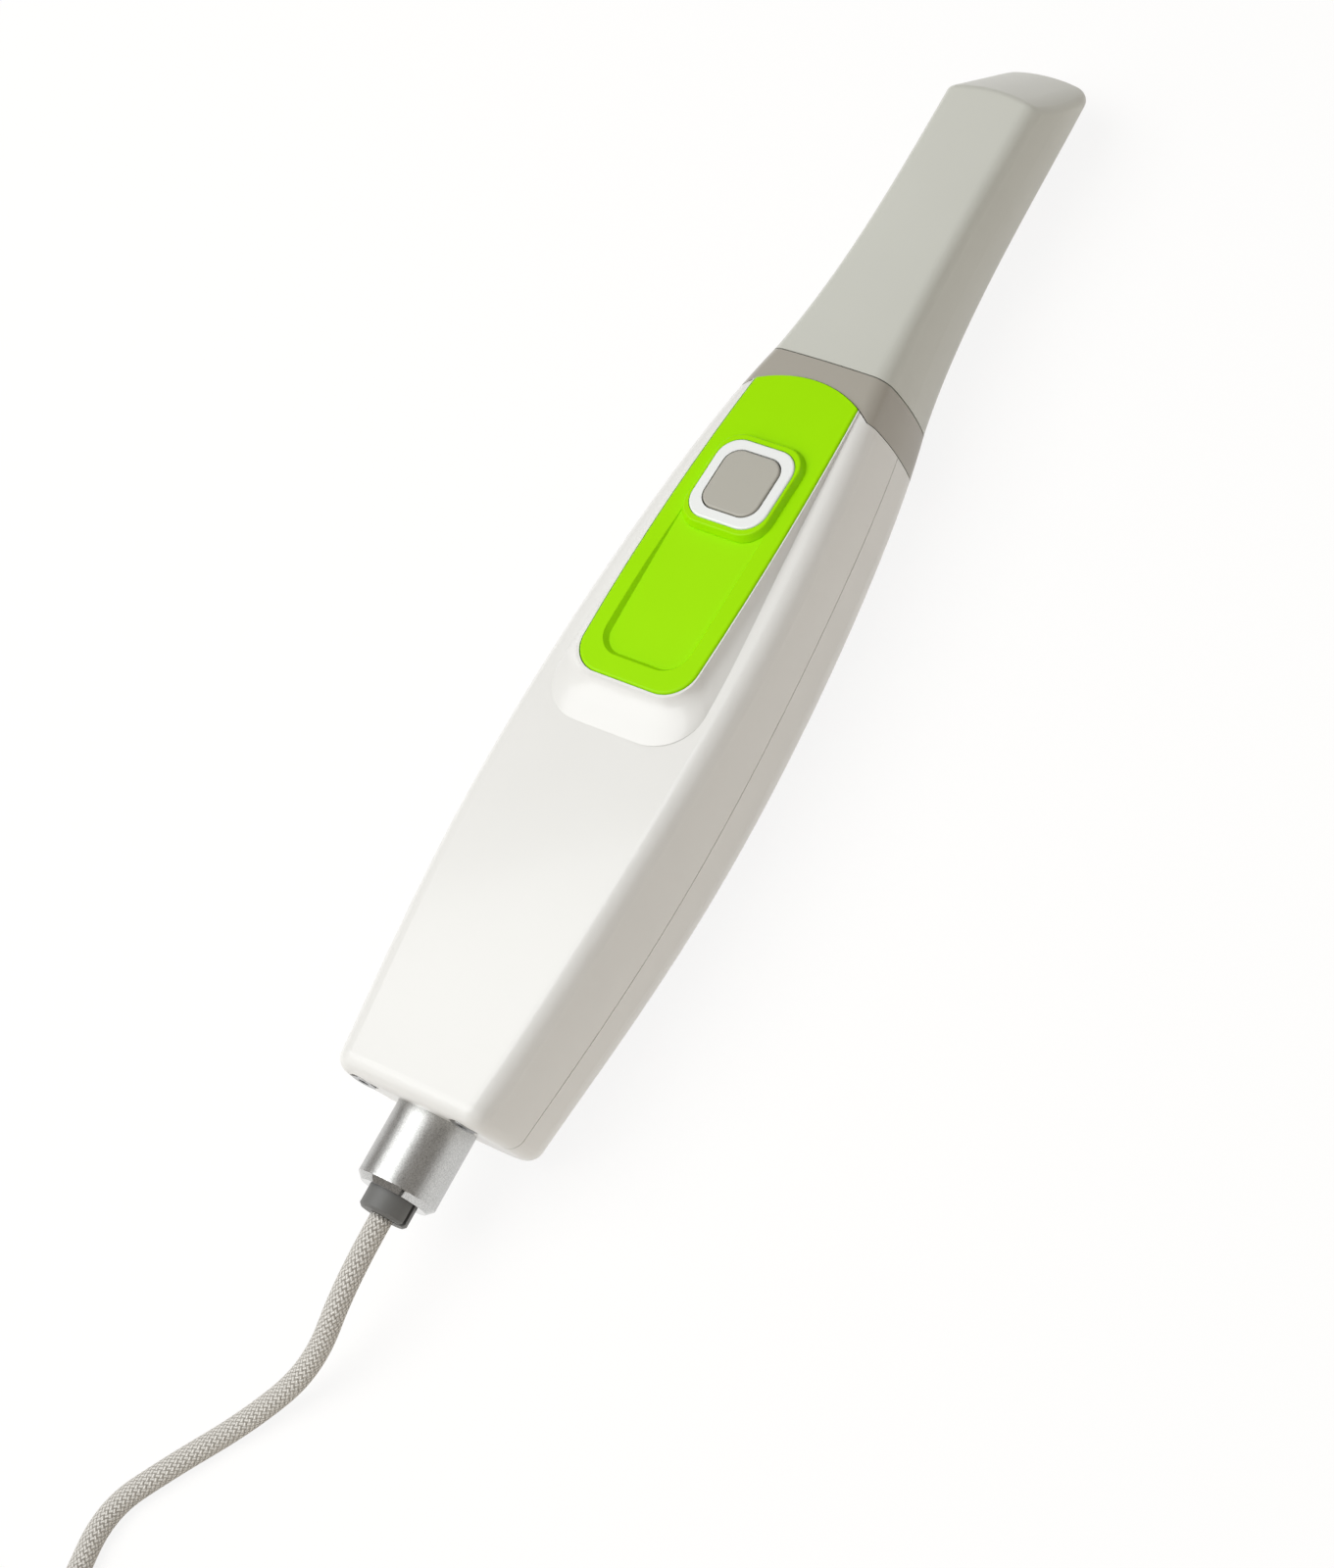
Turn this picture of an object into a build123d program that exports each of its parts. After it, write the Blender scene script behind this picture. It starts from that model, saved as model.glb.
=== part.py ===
from build123d import *
from math import atan2, cos, pi, radians, sin, sqrt, tan
import os

# Intraoral scanner: a handheld wand with a two-part handle, a green control panel with a scan
# button, a collar, a removable hollow tip with a slanted nose, the optics and boards inside,
# and a braided cable. X runs along the wand towards the tip, Z is up, millimetres.
# The origin is under the middle of the wand, on the surface that its belly lies on.

os.makedirs("parts", exist_ok=True)

# Lengths along the wand
handle_length = 163.0
tip_length = 81.0
sleeve_reach = 15.0
gland_reach = 4.2

# Handle sections from the rear face to the seam: half-width of the top face, half-width at the
# parting plane, rise of the top and depth of the underside. Places named at are counted from
# the rear end, places named back are counted from the seam
rear_top = 16.6
rear_side = 18.2
rear_rise = 15.4
rear_depth = 14.4
heel_at = 28.0
heel_top = 19.2
heel_side = 21.3
heel_rise = 15.6
heel_depth = 16.0
grip_at = 74.0
grip_top = 21.5
grip_side = 23.3
grip_rise = 15.4
grip_depth = 17.7
shoulder_back = 45.0
shoulder_top = 20.1
shoulder_side = 21.2
shoulder_rise = 14.0
shoulder_depth = 17.6
throat_back = 20.0
throat_top = 16.9
throat_side = 18.6
throat_rise = 13.4
throat_depth = 15.2
seam_top = 13.3
seam_side = 15.0
seam_rise = 11.9
seam_depth = 12.9

# Tip sections, counted from the seam
waist_at = 17.0
waist_top = 11.4
waist_side = 12.4
waist_rise = 10.4
waist_depth = 12.0
neck_at = 44.0
neck_top = 10.35
neck_side = 11.25
neck_rise = 9.35
neck_depth = 10.35
end_top = 10.2
end_side = 10.95
end_rise = 8.6
end_depth = 9.6

# Section shape
crown = 0.5
handle_edge = 4.0
tip_edge = 3.2
belly_tuck = 1.6
rear_bilge = 9.0
handle_bilge = 11.0
seam_bilge = 6.5
tip_bilge = 3.9
belly_height = 17.4
rear_round = 3.4
rear_rake = 3.0

# Handle shells
wall = 2.0
rear_wall = 2.6
throat_roof = 3.9
parting_gap = 0.2
lip_height = 1.6
lip_wall = 0.8
lip_clearance = 0.12

# Front collar
collar_length = 9.5
collar_arch_rise = 4.8
collar_arch_half = 14.4
collar_gap = 0.2
tip_gap = 0.25
spigot_length = 4.5
spigot_wall = 1.4
spigot_top = 6.0
spigot_clearance = 0.3

# Control panel, set into a plateau on the upper shell
panel_rear_back = 76.0
panel_rear_half = 13.0
panel_mid_back = 50.0
panel_mid_half = 13.65
panel_front_half = 11.25
panel_corner = 6.5
panel_rear_height = 18.5
panel_mid_height = 16.75
panel_front_height = 12.2
panel_rear_thick = 2.8
panel_front_thick = 1.8
panel_clearance = 0.12
panel_proud = 0.25
panel_edge_round = 0.5
plateau_rim = 0.35
plateau_height = 4.3
plateau_spare = 0.6
plateau_rear_run = 9.0
plateau_side_run = 3.4
plateau_levels = 4

# Finger rest sunk into the panel
rest_rear_inset = 4.2
rest_side_inset = 3.2
rest_corner = 3.4
rest_depth = 1.1
rest_front_back = 37.0
rest_wall_slope = 0.8

# Scan button, on a plane that follows the panel's slope
button_back = 31.2
frame_length = 22.0
frame_width = 20.2
frame_corner = 5.6
frame_height = 1.45
frame_draft = 26.0
frame_root = 0.6
frame_round = 0.4
ring_length = 18.3
ring_width = 17.5
ring_corner = 4.8
ring_proud = 0.25
ring_round = 0.4
ring_flange = 0.9
ring_flange_thick = 0.6
seat_gap = 0.12
cap_length = 13.4
cap_width = 12.5
cap_corner = 3.3
cap_proud = 0.5
cap_round = 0.35
cap_clearance = 0.3
cap_flange = 0.8
cap_flange_thick = 0.6
cap_skin = 1.3
stem_radius = 2.0
button_travel = 0.6
travel_margin = 0.25

# Button board under the panel
peg_radius = 1.3
peg_pin_radius = 0.7
peg_inset = 1.9
board_thick = 1.0
button_board_length = 27.0
button_board_width = 21.0
switch_size = 5.2
switch_height = 1.0
plunger_radius = 1.5
plunger_height = 0.4
led_length = 3.0
led_width = 1.4
led_height = 0.8
roof_margin = 0.6

# Scan tip
tip_wall = 1.8
tip_clearance = 0.3
nose_setback = 16.9
nose_spare = 4.0
nose_round = 2.0
nose_corner = 8.0
nose_bow = 2.2
nose_flank = 0.8
window_length = 14.0
window_width = 13.6
window_corner = 2.5
window_setback = 5.6
mirror_length = 13.4
mirror_width = 14.4
mirror_thick = 1.2
mirror_corner = 2.0
mirror_seat = 0.7

# Optics snout that the tip slides onto
snout_length = 50.0
snout_root = 4.4
snout_wall = 1.5
glass_thick = 1.5
glass_land = 0.8
glass_gap = 0.05
grip_ring_at = 4.0
grip_ring_width = 1.6
grip_ring_depth = 0.6
grip_ring_gap = 0.12

# Chassis
chassis_rear_at = 12.0
chassis_front_back = 15.0
chassis_thick = 1.5
chassis_half = 11.3
chassis_nose_half = 9.4
chassis_nose_back = 45.0
chassis_drop = 11.5
chassis_lip = 2.6
upright_rise = 11.6
upright_half = 13.1
lead_hole_radius = 4.0
boss_radius = 3.0
boss_rear_at = 24.0
boss_front_back = 55.0
boss_spread = 7.6
screw_radius = 1.0
screw_length = 4.0
screw_head_radius = 1.9
screw_head_height = 1.2
screw_gap = 0.05

# Main board
standoff_radius = 2.2
standoff_height = 5.2
standoff_rear_at = 34.0
standoff_front_back = 65.0
board_half = 11.4
board_end = 5.0
main_board_thick = 1.6
standoff_inset = 2.8
processor_lead = 4.0
processor_size = 14.0
processor_height = 1.4
spreader_size = 18.0
memory_length = 11.0
memory_width = 8.0
memory_height = 1.1
connector_rear_at = 31.0
connector_length = 7.0
connector_width = 11.0
connector_height = 6.4
lead_plug_length = 7.0
lead_plug_inset = 0.7

# Optics block with two light paths, the camera's above the projector's
block_length = 20.0
block_half = 8.6
block_rise = 6.8
path_spacing = 8.6
barrel_radius = 3.5
barrel_bore = 2.3
barrel_length = 22.0
barrel_reach = 4.0
barrel_gap = 0.05
lens_radius = 2.9
lens_thick = 1.4
lens_bulge = 0.6
lens_seat = 2.4
sensor_size = 4.4
sensor_height = 0.9
optics_board_half = 8.0
optics_board_gap = 0.3
optics_board_thick = 1.2
led_chip_size = 3.2
led_chip_height = 0.8
slide_thick = 0.6

# Cable exit
sleeve_radius = 8.0
sleeve_chamfer = 1.2
shank_radius = 6.0
shank_length = 10.5
shank_gap = 0.1
gland_radius = 4.9
gland_depth = 8.0
gland_round = 0.5
gland_slit = 0.9
nut_across = 16.0
nut_thick = 3.5
cable_diameter = 4.4
lead_gap = 0.05

# Rear screws
rear_screw_spread = 11.7
rear_screw_rise = 9.6
rear_screw_radius = 1.25
rear_head_radius = 2.5
rear_head_height = 1.5
rear_recess_radius = 3.0
rear_recess_depth = 1.9
rear_boss_radius = 3.2
socket_radius = 1.2
socket_depth = 0.9

# Cable's route on the floor, chosen by hand, and its put-away coil
cable_route = [
    (-145.0, 0.0, 17.4),
    (-160.5, 3.6, 6.8),
    (-174.0, 13.1, 2.2),
    (-188.5, 23.4, 2.2),
    (-201.0, 31.2, 2.2),
    (-217.0, 29.0, 2.3),
    (-238.0, 28.5, 2.6),
]
coil_centre = (-260.0, -1.0)
coil_radius = 25.0
coil_columns = 3
coil_layers = 4
tail_route = [
    (-274.5, 24.2, 18.4),
    (-283.0, 12.8, 20.8),
    (-284.0, -0.8, 21.9),
    (-280.0, -12.3, 22.3),
    (-271.0, -18.4, 22.4),
]
tie_angle = 20.0
tie_width = 9.0
tie_thick = 0.8
tie_gap = 0.7

# Plug at the cable's far end, lying on the coil
plug_rear_x = -253.0
plug_y = -18.4
relief_length = 8.0
relief_radius = 3.2
plug_length = 24.0
plug_width = 15.0
plug_height = 8.0
plug_round = 2.2
shell_length = 12.0
shell_width = 12.0
shell_height = 4.5
shell_wall = 0.4
shell_root = 4.0
tongue_height = 1.9

# Places that follow from the sizes
rear_x = (sleeve_reach + gland_reach - handle_length - tip_length) / 2
seam_x = rear_x + handle_length
nose_x = seam_x + tip_length
collar_x = seam_x - collar_length
gland_x = rear_x - sleeve_reach - gland_reach
axis_z = belly_height
back_wall = rear_wall + rear_rake
panel_rear_x = seam_x - panel_rear_back
panel_mid_x = seam_x - panel_mid_back
span = 2 * grip_side
cable_radius = cable_diameter / 2
chassis_top_z = axis_z - chassis_drop + chassis_thick
board_z = chassis_top_z + standoff_height
board_top_z = board_z + main_board_thick

handle_sections = [
    (rear_x, rear_top, rear_side, rear_rise, rear_depth, handle_edge, rear_bilge),
    (rear_x + heel_at, heel_top, heel_side, heel_rise, heel_depth, handle_edge, handle_bilge),
    (rear_x + grip_at, grip_top, grip_side, grip_rise, grip_depth, handle_edge, handle_bilge),
    (seam_x - shoulder_back, shoulder_top, shoulder_side, shoulder_rise, shoulder_depth,
     handle_edge, handle_bilge),
    (seam_x - throat_back, throat_top, throat_side, throat_rise, throat_depth,
     handle_edge, (handle_bilge + seam_bilge) / 2),
    (seam_x, seam_top, seam_side, seam_rise, seam_depth, handle_edge, seam_bilge),
]
cavity_roofs = [0, 0, 0, (throat_roof - wall) / 2, throat_roof - wall, throat_roof - wall]
tip_sections = [
    (seam_x, seam_top, seam_side, seam_rise, seam_depth, handle_edge, seam_bilge),
    (seam_x + waist_at, waist_top, waist_side, waist_rise, waist_depth,
     tip_edge, (seam_bilge + tip_bilge) / 2),
    (seam_x + neck_at, neck_top, neck_side, neck_rise, neck_depth, tip_edge, tip_bilge),
    (nose_x + nose_spare, end_top, end_side, end_rise, end_depth, tip_edge, tip_bilge),
]


def upper_outline(section, inset=0.0, roof=0.0, floor=0.0):
    """Section above the parting plane: crowned top, sides that bulge down to the plane."""
    at, top, side, rise, depth, edge, bilge = section
    half = top - inset
    foot = side - inset
    shoulder = axis_z + rise - crown - inset - roof
    base = axis_z + floor
    with BuildSketch(Plane.YZ.offset(at)) as sketch:
        with BuildLine():
            ThreePointArc((-half, shoulder), (0, shoulder + crown), (half, shoulder))
            TangentArc((foot, base), (half, shoulder), tangent=(0, 1))
            TangentArc((-foot, base), (-half, shoulder), tangent=(0, 1))
            Line((-foot, base), (foot, base))
        make_face()
        fillet(sketch.vertices().group_by(Axis.Y)[-1], edge - inset / 2)
    return sketch.sketch


def lower_outline(section, inset=0.0, ceiling=0.0):
    """Section below the parting plane: sides that tuck in to a flat, round-cornered belly."""
    at, top, side, rise, depth, edge, bilge = section
    brow = side - inset
    half = side - belly_tuck - inset
    bottom = axis_z - depth + inset
    with BuildSketch(Plane.YZ.offset(at)) as sketch:
        with BuildLine():
            Line((-half, bottom), (half, bottom))
            TangentArc((brow, axis_z + ceiling), (half, bottom), tangent=(0, -1))
            TangentArc((-brow, axis_z + ceiling), (-half, bottom), tangent=(0, -1))
            Line((-brow, axis_z + ceiling), (brow, axis_z + ceiling))
        make_face()
        fillet(sketch.vertices().group_by(Axis.Y)[0], bilge - inset / 2)
    return sketch.sketch


def upper_loft(sections, inset=0.0, roofs=None, floor=0.0):
    """Solid through the upper halves of the sections."""
    roofs = roofs or [0] * len(sections)
    outlines = [upper_outline(s, inset, r, floor) for s, r in zip(sections, roofs)]
    with BuildPart() as body:
        loft(outlines)
    return body.part


def lower_loft(sections, inset=0.0, ceiling=0.0):
    """Solid through the lower halves of the sections."""
    outlines = [lower_outline(s, inset, ceiling) for s in sections]
    with BuildPart() as body:
        loft(outlines)
    return body.part


def whole_outline(section, inset=0.0):
    """Whole section: crowned top, smoothly bulging sides and a round-cornered belly."""
    at, top, side, rise, depth, edge, bilge = section
    half = top - inset
    brow = side - inset
    keel = side - belly_tuck - inset
    shoulder = axis_z + rise - crown - inset
    bottom = axis_z - depth + inset
    with BuildSketch(Plane.YZ.offset(at)) as sketch:
        with BuildLine():
            ThreePointArc((-half, shoulder), (0, shoulder + crown), (half, shoulder))
            TangentArc((brow, axis_z), (half, shoulder), tangent=(0, 1))
            TangentArc((brow, axis_z), (keel, bottom), tangent=(0, -1))
            Line((keel, bottom), (-keel, bottom))
            TangentArc((-brow, axis_z), (-keel, bottom), tangent=(0, -1))
            TangentArc((-brow, axis_z), (-half, shoulder), tangent=(0, 1))
        make_face()
        fillet(sketch.vertices().group_by(Axis.Y)[-1], edge - inset / 2)
        fillet(sketch.vertices().group_by(Axis.Y)[0], bilge - inset / 2)
    return sketch.sketch


def whole_loft(sections, inset=0.0):
    """Solid through the whole sections, above and below the parting plane."""
    outlines = [whole_outline(s, inset) for s in sections]
    with BuildPart() as body:
        loft(outlines)
    return body.part


def from_rear(sections, rear_shift):
    """The same sections with the rearmost one moved towards the tip."""
    first = sections[0]
    return [(first[0] + rear_shift,) + first[1:]] + sections[1:]


def slab(x_low, x_high, z_low, z_high):
    """Block across the whole width between two places along the wand and two heights."""
    with BuildPart() as block:
        with BuildSketch(Plane.XY.offset(z_low)):
            with Locations(((x_low + x_high) / 2, 0)):
                Rectangle(x_high - x_low, 2 * span)
        extrude(amount=z_high - z_low)
    return block.part


def front_zone(shift):
    """Room in front of the handle: arched above the parting plane, straight below it."""
    edge_x = collar_x - shift
    far_x = seam_x + collar_length
    with BuildPart() as zone:
        with BuildSketch(Plane.XY.offset(axis_z)):
            with BuildLine():
                ThreePointArc((edge_x, -collar_arch_half), (edge_x + collar_arch_rise, 0),
                              (edge_x, collar_arch_half))
                Polyline((edge_x, collar_arch_half), (edge_x, span), (far_x, span),
                         (far_x, -span), (edge_x, -span), (edge_x, -collar_arch_half))
            make_face()
        extrude(amount=span)
        with BuildSketch(Plane.XY.offset(axis_z)):
            with Locations(((edge_x + far_x) / 2, 0)):
                Rectangle(far_x - edge_x, 2 * span)
        extrude(amount=-span)
    return zone.part


# Panel forms: the curve of its top, the room below that curve and its outline


def panel_points(rear_drop=0.0, front_drop=0.0):
    """Three points of the panel's top curve in the XZ plane, lowered at each end."""
    share = (panel_rear_back - panel_mid_back) / panel_rear_back
    mid_drop = rear_drop + (front_drop - rear_drop) * share
    return [
        (panel_rear_x, axis_z + panel_rear_height - rear_drop),
        (panel_mid_x, axis_z + panel_mid_height - mid_drop),
        (seam_x, axis_z + panel_front_height - front_drop),
    ]


def curve_height(points, x):
    """Height and slope at x of the arc through three points."""
    (ax, ay), (bx, by), (cx, cy) = points
    d = 2 * (ax * (by - cy) + bx * (cy - ay) + cx * (ay - by))
    a2, b2, c2 = ax * ax + ay * ay, bx * bx + by * by, cx * cx + cy * cy
    ux = (a2 * (by - cy) + b2 * (cy - ay) + c2 * (ay - by)) / d
    uy = (a2 * (cx - bx) + b2 * (ax - cx) + c2 * (bx - ax)) / d
    radius = sqrt((ax - ux) ** 2 + (ay - uy) ** 2)
    height = uy + sqrt(radius ** 2 - (x - ux) ** 2)
    return height, -(x - ux) / (height - uy)


def under_curve(points):
    """Everything below an arc in the XZ plane, run on level behind its rear end."""
    first, second, third = points
    back = first[0] - span
    with BuildPart() as body:
        with BuildSketch(Plane.XZ):
            with BuildLine():
                ThreePointArc(first, second, third)
                Polyline(third, (third[0], 0), (back, 0), (back, first[1]), first)
            make_face()
        extrude(amount=span, both=True)
    return body.part


def panel_outline(plane, rear_run=0.0, side_run=0.0, front_run=0.0, corner=panel_corner):
    """Panel's outline, counted from its rear edge and grown at the rear, sides and front."""
    rear_half = panel_rear_half + side_run
    with BuildSketch(plane) as sketch:
        with BuildLine():
            for side in (1, -1):
                ThreePointArc((-rear_run, side * rear_half),
                              (panel_rear_back - panel_mid_back, side * (panel_mid_half + side_run)),
                              (panel_rear_back, side * (panel_front_half + front_run)))
            Line((-rear_run, rear_half), (-rear_run, -rear_half))
            Line((panel_rear_back, panel_front_half + front_run),
                 (panel_rear_back, -panel_front_half - front_run))
        make_face()
        fillet(sketch.vertices().group_by(Axis.X)[0], corner)
    return sketch.sketch


def panel_plane(height):
    """Level plane at a height above the axis, with its origin under the panel's rear edge."""
    return Plane(origin=(panel_rear_x, 0, axis_z + height), x_dir=(1, 0, 0), z_dir=(0, 0, 1))


button_x = seam_x - button_back
button_z, button_slope = curve_height(panel_points(), button_x)
button_plane = Plane(origin=(button_x, 0, button_z), x_dir=(1, 0, button_slope),
                     z_dir=(-button_slope, 0, 1))
panel_under_z = curve_height(panel_points(panel_rear_thick, panel_front_thick), button_x)[0]
panel_thick_here = button_z - panel_under_z
ring_bottom = -panel_thick_here - 2 * seat_gap - ring_flange_thick
cap_bottom = ring_bottom - cap_clearance - cap_flange_thick
switch_top = cap_bottom - button_travel - travel_margin
button_board_top = switch_top - plunger_height - switch_height


def rounded_prism(plane, low, high, length, width, corner):
    """Prism of a round-cornered rectangle between two heights over a plane."""
    with BuildPart() as body:
        with BuildSketch(plane.offset(low)):
            RectangleRounded(length, width, corner)
        extrude(amount=high - low)
    return body.part


def lathe(points, height=axis_z):
    """Solid of a closed profile turned about a line along the wand at a height."""
    with BuildPart() as body:
        with BuildSketch(Plane(origin=(0, 0, height), x_dir=(1, 0, 0), z_dir=(0, -1, 0))):
            with BuildLine():
                Polyline(*points, close=True)
            make_face()
        revolve(axis=Axis((0, 0, height), (1, 0, 0)))
    return body.part


def along(x_low, x_high, radius, y=0.0, z=axis_z):
    """Cylinder along the wand between two places."""
    with BuildPart() as body:
        with BuildSketch(Plane(origin=(x_low, y, z), x_dir=(0, 1, 0), z_dir=(1, 0, 0))):
            Circle(radius)
        extrude(amount=x_high - x_low)
    return body.part


def upright(x, y, z_low, z_high, radius):
    """Upright cylinder between two heights."""
    with BuildPart() as body:
        with BuildSketch(Plane(origin=(x, y, z_low), x_dir=(1, 0, 0), z_dir=(0, 0, 1))):
            Circle(radius)
        extrude(amount=z_high - z_low)
    return body.part


def block(x_low, x_high, half, z_low, z_high):
    """Block centred across the wand."""
    with BuildPart() as body:
        with BuildSketch(Plane.XY.offset(z_low)):
            with Locations(((x_low + x_high) / 2, 0)):
                Rectangle(x_high - x_low, 2 * half)
        extrude(amount=z_high - z_low)
    return body.part


def save(part, name):
    """Name a finished piece and write its file."""
    part.label = name
    export_step(part, "parts/" + name + ".step")


handle_upper = upper_loft(handle_sections, floor=parting_gap)
handle_lower = lower_loft(handle_sections)
cavity_sections = from_rear(handle_sections, back_wall)
rear_plane = Plane(origin=(rear_x, 0, axis_z + rear_rise), x_dir=(0, 1, 0),
                   z_dir=(rear_rise + rear_depth, 0, rear_rake))
rear_screw_places = [(rear_screw_spread, axis_z + rear_screw_rise),
                     (-rear_screw_spread, axis_z + rear_screw_rise)]
chassis_under_z = axis_z - chassis_drop
boss_places = [(x, side * boss_spread)
               for x in (rear_x + boss_rear_at, seam_x - boss_front_back) for side in (1, -1)]

# Hollow of the upper shell, with the two rear screw bosses left standing in it
upper_hollow = upper_loft(cavity_sections, wall, cavity_roofs, -wall)
rear_bosses = [along(rear_x, rear_x + chassis_rear_at, rear_boss_radius, y, z)
               for y, z in rear_screw_places]
with BuildPart() as upper_cavity:
    add(upper_hollow)
    for boss in rear_bosses:
        add(boss, mode=Mode.SUBTRACT)

# Hollow of the lower shell, with the four chassis bosses left standing in it
lower_hollow = lower_loft(cavity_sections, wall, wall)
chassis_bosses = [upright(x, y, -wall, chassis_under_z, boss_radius) for x, y in boss_places]
with BuildPart() as lower_cavity:
    add(lower_hollow)
    for boss in chassis_bosses:
        add(boss, mode=Mode.SUBTRACT)

# Lip of the lower shell and the room for it in the upper shell
lip_sections = from_rear(handle_sections, back_wall - lip_wall)
lip_form = upper_loft(lip_sections, wall - lip_wall, floor=-lip_wall)
lip_band = slab(rear_x, seam_x, axis_z - lip_wall, axis_z + lip_height)
with BuildPart() as lip:
    add(lip_form)
    add(lip_band, mode=Mode.INTERSECT)
    add(upper_hollow, mode=Mode.SUBTRACT)
room_sections = from_rear(handle_sections, back_wall - lip_wall - lip_clearance)
room_form = upper_loft(room_sections, wall - lip_wall - lip_clearance, floor=-lip_wall)
room_band = slab(rear_x, seam_x, axis_z - lip_wall, axis_z + lip_height + lip_clearance)
with BuildPart() as lip_room:
    add(room_form)
    add(room_band, mode=Mode.INTERSECT)

# Plateau that lifts the panel above the top face, with a skirt that flattens out to its foot
plateau_foot = axis_z + panel_rear_height - panel_proud + plateau_spare - plateau_height
plateau_tilt = (panel_front_height - panel_rear_height) / panel_rear_back


def plateau_outline(share):
    """Outline at a share of the plateau's height: wide at its foot, close to the panel at its crest."""
    spread = (1 - share) ** 2
    plane = Plane(origin=(panel_rear_x, 0, plateau_foot + plateau_height * share),
                  x_dir=(1, 0, plateau_tilt), z_dir=(-plateau_tilt, 0, 1))
    return panel_outline(plane, plateau_rim + plateau_rear_run * spread,
                         plateau_rim + plateau_side_run * spread, plateau_rim,
                         panel_corner + plateau_side_run * spread)


plateau_outlines = [plateau_outline(level / (plateau_levels - 1)) for level in range(plateau_levels)]
crest_room = under_curve(panel_points(panel_proud, panel_proud))
with BuildPart() as plateau:
    loft(plateau_outlines)
    add(crest_room, mode=Mode.INTERSECT)

# Pocket for the panel and the opening for the button board below it
pocket_outline = panel_outline(panel_plane(0), panel_clearance, panel_clearance, panel_clearance)
pocket_floor = under_curve(panel_points(panel_rear_thick + lead_gap, panel_front_thick + lead_gap))
with BuildPart() as panel_pocket:
    extrude(pocket_outline, amount=span)
    add(pocket_floor, mode=Mode.SUBTRACT)
board_opening = rounded_prism(button_plane, button_board_top - span, 0,
                              button_board_length + 2 * roof_margin,
                              button_board_width + 2 * roof_margin, peg_inset)
shank_hole = along(rear_x - wall, rear_x + back_wall + wall, shank_radius + shank_gap)
sleeve_seat = along(rear_x - wall, rear_x + rear_rake, sleeve_radius + shank_gap)
handle_front = front_zone(collar_gap)
rear_recesses = [along(rear_x - wall, rear_x + rear_recess_depth, rear_recess_radius, y, z)
                 for y, z in rear_screw_places]
rear_holes = [along(rear_x - wall, rear_x + chassis_rear_at + wall, rear_screw_radius + screw_gap, y, z)
              for y, z in rear_screw_places]

with BuildPart() as upper_shell:
    add(handle_upper)
    split(bisect_by=rear_plane)
    rear_face = upper_shell.faces().sort_by(Axis.X)[0]
    fillet(rear_face.edges().sort_by(Axis.Z)[1:], rear_round)
    add(plateau.part)
    add(handle_front, mode=Mode.SUBTRACT)
    add(upper_cavity.part, mode=Mode.SUBTRACT)
    add(lip_room.part, mode=Mode.SUBTRACT)
    add(panel_pocket.part, mode=Mode.SUBTRACT)
    add(board_opening, mode=Mode.SUBTRACT)
    add(shank_hole, mode=Mode.SUBTRACT)
    add(sleeve_seat, mode=Mode.SUBTRACT)
    for tool in rear_recesses + rear_holes:
        add(tool, mode=Mode.SUBTRACT)
save(upper_shell.part, "upper_shell")

boss_holes = [upright(x, y, chassis_under_z + chassis_thick - screw_length - screw_gap,
                      axis_z, screw_radius + screw_gap) for x, y in boss_places]
with BuildPart() as lower_shell:
    add(handle_lower)
    split(bisect_by=rear_plane)
    rear_face = lower_shell.faces().sort_by(Axis.X)[0]
    fillet(rear_face.edges().sort_by(Axis.Z)[:-1], rear_round)
    split(bisect_by=Plane.XY)
    add(lower_cavity.part, mode=Mode.SUBTRACT)
    add(lip.part)
    add(handle_front, mode=Mode.SUBTRACT)
    add(shank_hole, mode=Mode.SUBTRACT)
    add(sleeve_seat, mode=Mode.SUBTRACT)
    for tool in boss_holes:
        add(tool, mode=Mode.SUBTRACT)
save(lower_shell.part, "lower_shell")

# Panel with the finger rest, the button frame and the pegs that carry the button board
rest_front_x = seam_x - rest_front_back
rest_mid_x = (panel_rear_x + rest_front_x) / 2
rest_curve = [
    (panel_rear_x, curve_height(panel_points(), panel_rear_x)[0] - rest_depth),
    (rest_mid_x, curve_height(panel_points(), rest_mid_x)[0] - rest_depth * 3 / 4),
    (rest_front_x, curve_height(panel_points(), rest_front_x)[0]),
]
rest_tilt = (rest_curve[2][1] - rest_curve[0][1]) / (rest_front_x - panel_rear_x)


def rest_plane(height):
    """Plane along the finger rest's floor, raised by a height at its rear end."""
    return Plane(origin=(panel_rear_x, 0, rest_curve[0][1] + height), x_dir=(1, 0, rest_tilt),
                 z_dir=(-rest_tilt, 0, 1))


rest_open = 2 * rest_depth
rest_low = panel_outline(rest_plane(-rest_depth),
                         -rest_rear_inset - rest_open * rest_wall_slope,
                         -rest_side_inset - rest_open * rest_wall_slope,
                         -rest_side_inset - rest_open * rest_wall_slope, rest_corner)
rest_high = panel_outline(rest_plane(rest_open), -rest_rear_inset + rest_depth * rest_wall_slope,
                          -rest_side_inset + rest_depth * rest_wall_slope,
                          -rest_side_inset + rest_depth * rest_wall_slope, panel_corner)
rest_floor = under_curve(rest_curve)
rest_reach = slab(panel_rear_x, rest_front_x, axis_z, axis_z + span)
with BuildPart() as finger_rest:
    loft([rest_low, rest_high])
    add(rest_reach, mode=Mode.INTERSECT)
    add(rest_floor, mode=Mode.SUBTRACT)

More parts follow.
